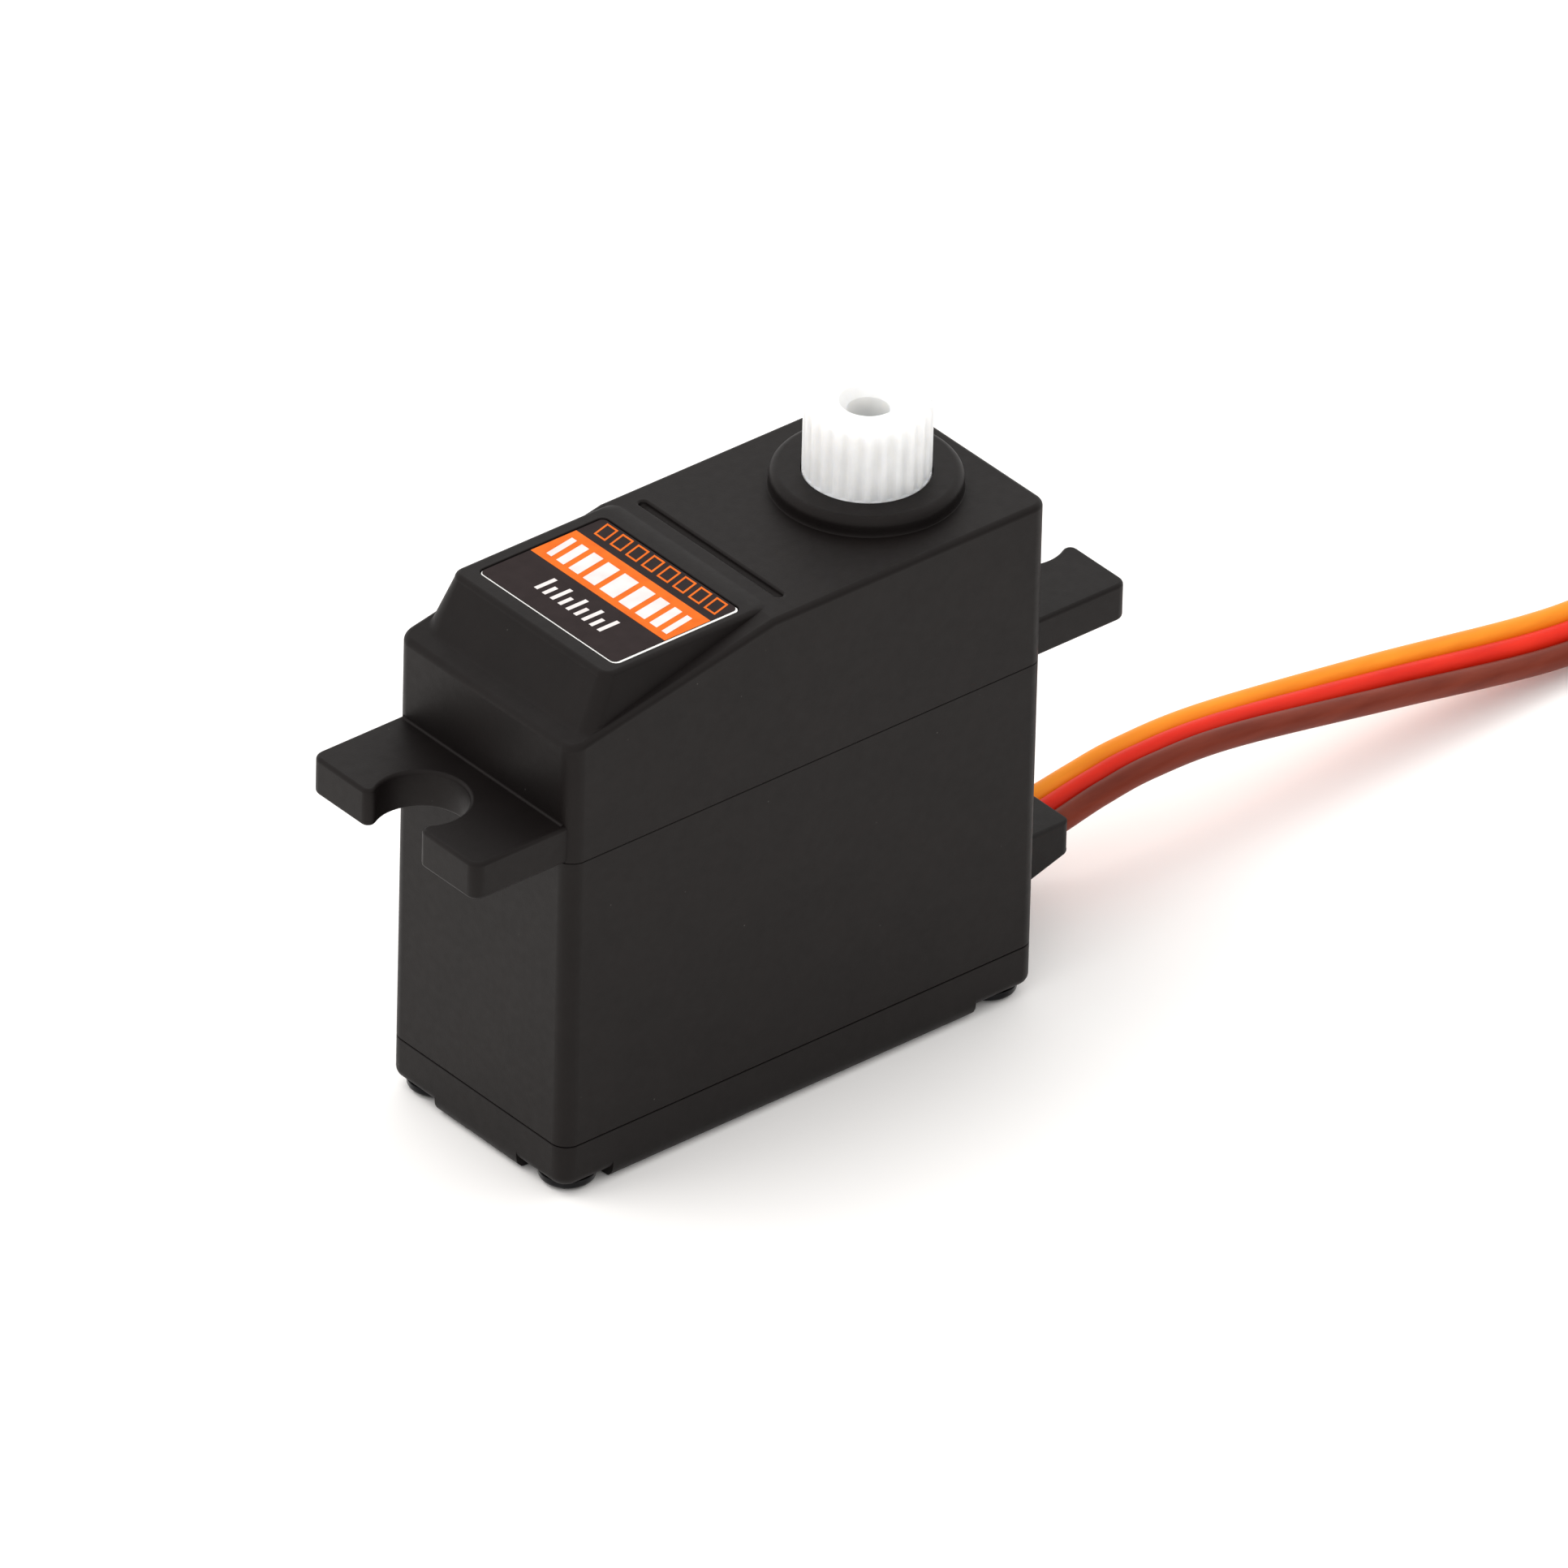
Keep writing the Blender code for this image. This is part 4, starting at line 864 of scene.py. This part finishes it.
def case_screw(index, material):
    """A pan-head screw, head down, with a cross recess."""
    place = SCREWS[index]
    x, y = screw_places()[index]
    radius = (place.x1 - place.x0) / 2
    rim, seat = place.z0 - SCREW_DROP, POCKET_DEPTH - 0.02
    profile = [(0.05, rim - 0.02), (0.55, rim - 0.01)]
    for i in range(8):
        angle = math.pi / 2 * i / 7
        profile.append(
            (radius - 0.4 * (1 - math.sin(angle)), rim + 0.3 * (1 - math.cos(angle)))
        )
    profile += [
        (radius, seat - 0.03),
        (radius - 0.03, seat),
        (0.8, seat + 0.001),
        (0.8, place.z1 - 0.8),
        (0.25, place.z1),
    ]
    screw = piece(f"pan_screw_{index + 1}", turned(profile, x, y, 48))
    turn = Matrix.Rotation(math.radians(20 + 35 * index), 3, "Z")
    recess = prism(cross_outline(0.68, 0.12), rim - 0.5, rim + 0.38)
    bmesh.ops.rotate(recess, verts=recess.verts, cent=(0, 0, 0), matrix=turn)
    bmesh.ops.translate(recess, verts=recess.verts, vec=(x, y, 0))
    cut(screw, recess)
    smooth(screw)
    screw.data.materials.append(material)
    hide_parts(f"case_screw_{index + 1}")
    return screw


def cross_outline(reach, half):
    points = []
    for quarter in range(4):
        c, s = math.cos(quarter * math.pi / 2), math.sin(quarter * math.pi / 2)
        for x, y in ((reach, -half), (reach, half), (half, half)):
            points.append((x * c - y * s, x * s + y * c))
    return points


# ---------------------------------------------------------------- label


def label_sheet(name, x0, x1, y0, y1, z0, z1, radius, material):
    sheet = piece(name, prism(rounded_rectangle(x0, x1, y0, y1, radius, 6), z0, z1))
    sheet.data.materials.append(material)
    return sheet


def label_layers(paper, dark, orange, white):
    """Paper, dark film, an orange stripe and generic marks in place of any lettering."""
    base, film_top = LABEL.z0, LABEL.z1
    x0, x1, y0, y1 = LABEL.x0, LABEL.x1, LABEL.y0, LABEL.y1
    film_base = film_top - 0.035
    made = [
        label_sheet("label_paper", x0, x1, y0, y1, base, film_base - 0.002, 0.32, paper),
        label_sheet(
            "label_film", x0 + 0.07, x1 - 0.02, y0 + 0.15, y1 - 0.02, film_base, film_top, 0.28, dark
        ),
    ]
    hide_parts("label")
    ink_low, ink_high = film_top + 0.001, film_top + 0.008
    stripe_x = (x0 + 3.05, x0 + 5.75)
    made.append(
        label_sheet(
            "label_stripe", *stripe_x, y0 + 0.15, y1 - 0.04, ink_low, ink_high, 0.02, orange
        )
    )
    made += pulse_marks(stripe_x, ink_high, white)
    made += outlined_marks(x0 + 6.2, x0 + 7.25, ink_low, ink_high, orange)
    made += small_marks(x0 + 1.2, x0 + 2.4, ink_low, ink_high, white)
    return made


def ink(name, outlines, z0, z1, material):
    """Several flat printed shapes as one piece."""
    whole = bmesh.new()
    for outline in outlines:
        part = prism(outline, z0, z1)
        data = bpy.data.meshes.new("ink")
        part.to_mesh(data)
        part.free()
        whole.from_mesh(data)
        bpy.data.meshes.remove(data)
    made = piece(name, whole)
    made.data.materials.append(material)
    return made


def slanted(x0, x1, y, width, slant=0.28):
    """A leaning bar across the label, width along Y."""
    return [(x0, y), (x0, y + width), (x1, y + width + slant), (x1, y + slant)]


def pulse_marks(stripe_x, z, material):
    """White bars of stepping widths, like a train of control pulses."""
    x0, x1 = stripe_x[0] + 0.4, stripe_x[1] - 0.55
    outlines = []
    y = LABEL.y0 + 0.5
    for width in (0.36, 0.52, 0.68, 0.84, 1.0, 0.84, 0.68, 0.52, 0.36):
        outlines.append(slanted(x0, x1, y, width))
        y += width + 0.35
    return [ink("label_pulses", outlines, z + 0.001, z + 0.007, material)]


def outlined_marks(x0, x1, z0, z1, material):
    """A row of thin hollow lozenges, each drawn as four strokes."""
    stroke = 0.11
    outlines = []
    for index in range(8):
        y = LABEL.y0 + 0.4 + index * 1.12
        width = 0.8
        outlines.append(slanted(x0, x0 + stroke, y, width, 0.03))
        outlines.append(slanted(x1 - stroke, x1, y + 0.25, width, 0.03))
        outlines.append(slanted(x0 + stroke, x1 - stroke, y + 0.03, stroke, 0.22))
        outlines.append(slanted(x0 + stroke, x1 - stroke, y + width - stroke + 0.03, stroke, 0.22))
    return [ink("label_lozenges", outlines, z0, z1, material)]


def small_marks(x0, x1, z0, z1, material):
    """A centred row of plain white ticks."""
    outlines = []
    middle = (LABEL.y0 + LABEL.y1) / 2
    for index in range(-4, 5):
        tall = x1 if index % 2 == 0 else x0 + 0.65 * (x1 - x0)
        outlines.append(slanted(x0, tall, middle + index * 0.56 - 0.12, 0.24, 0.0))
    return [ink("label_ticks", outlines, z0, z1, material)]


# ---------------------------------------------------------------- output shaft


def spline_loop(tip, root, z, per_tooth=12):
    """One ring of the spline with soft tooth tips and roots."""
    points = []
    count = SPLINE_TEETH * per_tooth
    for i in range(count):
        phase = (i % per_tooth) / per_tooth
        wave = 0.5 + 0.5 * math.cos(TURN * phase)
        lift = wave * wave * (3 - 2 * wave)
        radius = root + (tip - root) * lift
        angle = TURN * i / count
        points.append((radius * math.cos(angle), radius * math.sin(angle), z))
    return points


def round_loop(radius, z, per_tooth=12):
    count = SPLINE_TEETH * per_tooth
    return [
        (radius * math.cos(TURN * i / count), radius * math.sin(TURN * i / count), z)
        for i in range(count)
    ]


def wheel_outline():
    """The last gear's teeth, trapezoidal with eased tips."""
    root = WHEEL_TIP - 0.59
    pitch = TURN / WHEEL_TEETH
    points = []
    for tooth in range(WHEEL_TEETH):
        centre = math.pi + pitch / 2 + tooth * pitch
        for radius, part in ((root, -0.34), (WHEEL_TIP - 0.06, -0.13), (WHEEL_TIP, -0.08)):
            angle = centre + part * pitch
            points.append((radius * math.cos(angle), radius * math.sin(angle)))
        for radius, part in ((WHEEL_TIP, 0.08), (WHEEL_TIP - 0.06, 0.13), (root, 0.34)):
            angle = centre + part * pitch
            points.append((radius * math.cos(angle), radius * math.sin(angle)))
    return points


def output_shaft(material):
    journal = COLLAR_BORE - 0.06
    start = COLLAR_TOP + 0.02
    loops = [round_loop(journal, GEAR.z0 + 0.5), round_loop(journal, start - 0.05)]
    loops.append(spline_loop(SPLINE_TIP - 0.03, SPLINE_ROOT, start))
    edge = 0.2
    for z in (start + 0.2, start + 1.2, start + 2.2, SPLINE_TOP - edge):
        loops.append(spline_loop(SPLINE_TIP, SPLINE_ROOT, z))
    for i in range(1, 5):
        angle = math.pi / 2 * i / 4
        inset = edge * (1 - math.cos(angle))
        z = SPLINE_TOP - edge * (1 - math.sin(angle))
        loops.append(spline_loop(SPLINE_TIP - inset, SPLINE_ROOT - inset, z))
    flat = SPLINE_ROOT - edge - 0.05
    loops.append(round_loop(flat, SPLINE_TOP))
    loops.append(round_loop(HORN_HOLE_MOUTH + 0.12, SPLINE_TOP))
    loops.append(round_loop(HORN_HOLE_MOUTH + 0.03, SPLINE_TOP - 0.03))
    loops.append(round_loop(HORN_HOLE_MOUTH, SPLINE_TOP - 0.1))
    loops.append(round_loop(HORN_HOLE, SPLINE_TOP - 0.5))
    loops.append(round_loop(HORN_HOLE, HORN_HOLE_FLOOR + 0.4))
    loops.append(round_loop(0.2, HORN_HOLE_FLOOR))
    shaft = piece("splined_shaft", skin(loops), 40)
    join(shaft, prism(wheel_outline(), GEAR.z0, GEAR.z0 + WHEEL_HEIGHT))
    cut(shaft, block(-0.66, 0.66, -0.36, 0.36, GEAR.z0 - 1, GEAR.z0 + 1.85))
    smooth(shaft, 40)
    shaft.data.materials.append(material)
    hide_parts("output_gear")
    return shaft


# ---------------------------------------------------------------- lead


def smooth_path(points, steps):
    """A Catmull-Rom curve through the points, with steps pieces between neighbours."""
    padded = [2 * points[0] - points[1], *points, 2 * points[-1] - points[-2]]
    path = []
    for a, b, c, d in zip(padded, padded[1:], padded[2:], padded[3:]):
        for i in range(steps):
            t = i / steps
            cubic = (2 * b) + (c - a) * t
            cubic += (2 * a - 5 * b + 4 * c - d) * t**2
            cubic += (3 * b - a - 3 * c + d) * t**3
            path.append(cubic / 2)
    path.append(points[-1])
    return path


def tube(path, radius, sides):
    """A round tube along a path that stays near a vertical plane."""
    loops = []
    for i, point in enumerate(path):
        along = (path[min(i + 1, len(path) - 1)] - path[max(i - 1, 0)]).normalized()
        up = along.cross(Vector((0, 1, 0))).normalized()
        across = up.cross(along)
        loop = []
        for k in range(sides):
            angle = TURN * k / sides
            loop.append(point + radius * (math.cos(angle) * across + math.sin(angle) * up))
        loops.append(loop)
    return skin(loops)


def ease(x, start, end):
    """0 before start, 1 after end and a smooth step between."""
    part = min(max((x - start) / (end - start), 0.0), 1.0)
    return part * part * (3 - 2 * part)


def roll_at(x):
    """How far the flat lead is rolled at this x, in radians."""
    degrees = LEAD_ROLL[0][1]
    for before, after in zip(LEAD_ROLL, LEAD_ROLL[1:]):
        degrees += (after[1] - before[1]) * ease(x, before[0], after[0])
    return math.radians(degrees)


def lead_wire(name, node, place, material):
    """One wire of the flat lead; place is -1, 0 or +1 across it."""
    path = []
    for point in smooth_path([Vector((x, 0, z)) for x, z in LEAD_PATH], 14):
        roll = roll_at(point.x)
        offset = place * (WIRE_PITCH + (PLUG_PITCH - WIRE_PITCH) * ease(point.x, FAN_START, FAN_END))
        path.append(point + Vector((0, offset * math.cos(roll), offset * math.sin(roll))))
    wire = piece(name, tube(path, WIRE_RADIUS, 28), 60)
    wire.data.materials.append(material)
    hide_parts(node)
    return wire


def grommet(material):
    """The strain relief: a wedge outside the wall, a neck through it and a flange inside."""
    root, tip, top = CASE_RIGHT + 0.06, GROMMET.x1, GROMMET.z1
    half, neck_half, low = GROMMET_HALF_WIDTH, GROMMET_HALF_WIDTH - 0.08, GROMMET_NECK_BOTTOM
    outline = [(root, GROMMET.z0), (tip, top - GROMMET_TIP_HEIGHT), (tip, top), (root, top)]
    made = piece("strain_relief", lying_prism(outline, -half, half))

    def edge_width(middle, edge):
        upright_edge = abs(edge.verts[0].co.y - edge.verts[1].co.y) < 0.1 * MM
        if middle.x < root + 0.2:
            return 0.0
        return 0.55 if upright_edge and near(middle.x, tip) else 0.2

    round_edges(made, edge_width, 5)
    inner = CASE_RIGHT - WALL
    join(made, block(inner - 0.3, root + 0.3, -neck_half, neck_half, low, top - 0.01))
    join(made, block(inner - 1.0, inner - 0.1, -half - 0.3, half + 0.3, low, top - 0.02))
    slot = WIRE_RADIUS + 0.06
    across = WIRE_PITCH + slot
    z0, z1 = WIRE_EXIT_LOW - slot - 0.06, WIRE_EXIT_HIGH + slot + 0.06
    cut(made, block(inner - 2, tip + 1, -across, across, z0, z1))
    smooth(made)
    made.data.materials.append(material)
    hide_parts("cable_grommet")
    return made


def plug(material):
    """The connector housing, with ribs on its back half and a window for each contact latch."""
    middle = (PLUG.z0 + PLUG.z1) / 2
    outline = rounded_rectangle(PLUG.y0, PLUG.y1, PLUG.z0, PLUG.z1, 0.3, 5)
    made = piece("plug_shell", skin([[(x, y, z) for y, z in outline] for x in (PLUG.x0, PLUG.x1)]))
    round_edges(made, lambda middle, edge: 0.15, 3, 40)
    for place in (-1, 0, 1):
        y = place * PLUG_PITCH
        cut(
            made,
            block(PLUG.x0 - 1, PLUG.x1 + 1, y - 0.85, y + 0.85, middle - 0.85, middle + 0.85),
            block(PLUG.x0 + 5.0, PLUG.x0 + 8.0, y - 0.6, y + 0.6, middle, PLUG.z1 + 1),
        )
    for rib in range(4):
        x = PLUG.x0 + 1.0 + rib * 0.9
        for side in (PLUG.y0, PLUG.y1):
            cut(made, block(x, x + 0.35, side - 0.15, side + 0.15, PLUG.z0 - 1, PLUG.z1 + 1))
    smooth(made)
    made.data.materials.append(material)
    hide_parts("plug_housing")
    return made


# ---------------------------------------------------------------- stage


def view_axes():
    """Right, up and back of the camera, with its small roll."""
    azimuth, elevation = math.radians(CAMERA_AZIMUTH), math.radians(CAMERA_ELEVATION)
    back = Vector(
        (
            math.sin(azimuth) * math.cos(elevation),
            -math.cos(azimuth) * math.cos(elevation),
            math.sin(elevation),
        )
    )
    level = Vector((0, 0, 1)).cross(back).normalized()
    high = back.cross(level)
    roll = math.radians(CAMERA_ROLL)
    right = level * math.cos(roll) + high * math.sin(roll)
    up = high * math.cos(roll) - level * math.sin(roll)
    return right, up, back


def camera():
    right, up, back = view_axes()
    target = Vector((CASE_MIDDLE_X, 0, AIM_HEIGHT))
    aim = target + right * AIM_RIGHT + up * AIM_UP
    data = bpy.data.cameras.new("camera")
    data.lens = CAMERA_LENS
    data.sensor_width = CAMERA_SENSOR
    data.clip_start = 0.05
    data.clip_end = 20
    made = bpy.data.objects.new("camera", data)
    place = Matrix((right, up, back)).transposed().to_4x4()
    place.translation = (aim + back * CAMERA_DISTANCE) * MM
    made.matrix_world = place
    bpy.context.scene.collection.objects.link(made)
    bpy.context.scene.camera = made


def area_light(name, direction, distance, size, power, colour):
    """A square soft light that looks at the case from a direction."""
    data = bpy.data.lights.new(name, "AREA")
    data.size = size
    data.energy = power
    data.color = colour
    made = bpy.data.objects.new(name, data)
    target = Vector((CASE_MIDDLE_X, 0, AIM_HEIGHT)) * MM
    offset = Vector(direction).normalized() * distance
    made.location = target + offset
    made.rotation_mode = "QUATERNION"
    made.rotation_quaternion = offset.to_track_quat("Z", "Y")
    bpy.context.scene.collection.objects.link(made)
    return made


def dim_front(tree, strength):
    """A darker patch of the studio low in front of the object, where no screen stands."""
    place = tree.nodes.new("ShaderNodeTexCoord").outputs["Generated"]
    towards = tree.nodes.new("ShaderNodeVectorMath")
    towards.operation = "DOT_PRODUCT"
    towards.inputs[1].default_value = Vector(DIM_DIRECTION).normalized()
    fade = tree.nodes.new("ShaderNodeMapRange")
    fade.interpolation_type = "SMOOTHSTEP"
    for socket, value in zip(("From Min", "From Max", "To Min", "To Max"), DIM_FADE):
        fade.inputs[socket].default_value = value
    tree.links.new(place, towards.inputs[0])
    tree.links.new(towards.outputs["Value"], fade.inputs["Value"])
    tree.links.new(fade.outputs["Result"], strength)


def lights():
    world = bpy.data.worlds.new("studio")
    world.use_nodes = True
    background = world.node_tree.nodes["Background"]
    background.inputs["Color"].default_value = (1.0, 0.99, 0.98, 1.0)
    dim_front(world.node_tree, background.inputs["Strength"])
    bpy.context.scene.world = world
    key = area_light("key", (-0.55, 0.35, 1.0), 0.6, 0.34, 1.2, (1.0, 0.98, 0.96))
    key.visible_glossy = False


def floor():
    paint = Paint("floor_look")
    paint.drive(
        "Base Color", paint.colours(paint.noise(60, 2.0), ((0.3, (0.93, 0.92, 0.91)), (0.7, (0.94, 0.93, 0.92))))
    )
    paint.set(Roughness=0.7)
    size = 3000
    sheet = piece("floor", block(-size, size, -size, size, -5, -0.005))
    sheet.data.materials.append(paint.material)


# ---------------------------------------------------------------- assembly


def dress(nodes, material):
    """Give carried-over CAD nodes a procedural material."""
    for node in nodes:
        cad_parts[node].data.materials.clear()
        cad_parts[node].data.materials.append(material)


def place_pieces(made, body):
    for item in made:
        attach(item, body)


def build():
    black = moulded_nylon("case_look", (0.0026, 0.0017, 0.0017), (0.004, 0.0028, 0.0027), 0.5)
    nylon = white_nylon()
    rubber = moulded_nylon("rubber_look", (0.006, 0.0055, 0.0055), (0.009, 0.008, 0.008), 0.55, 0.2, 0.01)
    dark_steel = metal("screw_look", (0.012, 0.012, 0.013), (0.02, 0.02, 0.021), 0.22)
    steel = metal("steel_look", (0.5, 0.5, 0.51), (0.6, 0.6, 0.6), 0.22, (1, 1, 0.08))
    brass = metal("brass_look", (0.72, 0.52, 0.22), (0.8, 0.6, 0.3), 0.25, (0.1, 1, 1))
    copper = metal("copper_look", (0.65, 0.27, 0.13), (0.76, 0.36, 0.2), 0.3, (1, 1, 12))
    tinned = metal("tinned_look", (0.55, 0.55, 0.57), (0.66, 0.66, 0.68), 0.25)
    chip = plain_plastic("chip_look", (0.01, 0.01, 0.012), (0.017, 0.017, 0.019), 0.4)
    white_wire = insulation("white_wire_look", (0.75, 0.75, 0.73), (0.82, 0.82, 0.8))
    orange_wire = insulation("orange_wire_look", (0.74, 0.22, 0.01), (0.84, 0.27, 0.015))
    red_wire = insulation("red_wire_look", (0.58, 0.013, 0.004), (0.68, 0.021, 0.006))
    brown_wire = insulation("brown_wire_look", (0.125, 0.018, 0.008), (0.175, 0.03, 0.015))
    paper = film("paper_look", (0.8, 0.8, 0.78), (0.88, 0.88, 0.86), 0.5)
    dark_film = film("film_look", (0.012, 0.006, 0.006), (0.016, 0.009, 0.009), 0.2)
    orange_ink = film("orange_ink_look", (0.6, 0.105, 0.004), (0.68, 0.135, 0.007), 0.28)
    white_ink = film("white_ink_look", (0.62, 0.58, 0.57), (0.7, 0.66, 0.65), 0.28)

    place_pieces([top_case(black), middle_case(black), bottom_cover(black)], "case")
    place_pieces([case_screw(index, dark_steel) for index in range(4)], "case")
    place_pieces(label_layers(paper, dark_film, orange_ink, white_ink), "case")
    place_pieces([output_shaft(nylon)], "output")
    for name, node, place, material, slot in (
        ("wire_signal", "lead_wire_orange", 1, orange_wire, "wire_orange"),
        ("wire_supply", "lead_wire_red", 0, red_wire, "wire_red"),
        ("wire_ground", "lead_wire_brown", -1, brown_wire, "wire_brown"),
    ):
        place_pieces([lead_wire(name, node, place, material)], "case")
    place_pieces([grommet(rubber)], "case")
    place_pieces([plug(chip)], "case")

    dress(("first_gear", "second_gear", "third_gear", "fourth_gear"), nylon)
    dress(("gear_pin_a", "gear_pin_b", "motor_can", "motor_shaft", "motor_armature", "pot_shaft"), steel)
    dress([f"armature_winding_{n}" for n in (1, 2, 3)] + ["motor_commutator"], copper)
    dress(("motor_bushing", "motor_pinion"), brass)
    dress([f"motor_{part}_{n}" for part in ("terminal", "brush") for n in (1, 2)], brass)
    dress([f"plug_contact_{n}" for n in (1, 2, 3)], brass)
    dress(("motor_magnet_1", "motor_magnet_2"), ferrite())
    dress(("motor_end_cap", "pot_body", "control_chip", "driver_chip_1", "driver_chip_2"), chip)
    dress(("motor_wire_2", "pot_wire_3"), chip)
    dress(("circuit_board", "pot_track"), laminate())
    dress(("chip_capacitor", "power_capacitor"), tinned)
    dress(("motor_wire_1", "pot_wire_1"), red_wire)
    dress(("pot_wire_2",), white_wire)

    floor()
    lights()
    camera()
    bpy.context.scene.view_settings.view_transform = "Standard"


def corners(box):
    return [list(corner) for corner in box]


build()
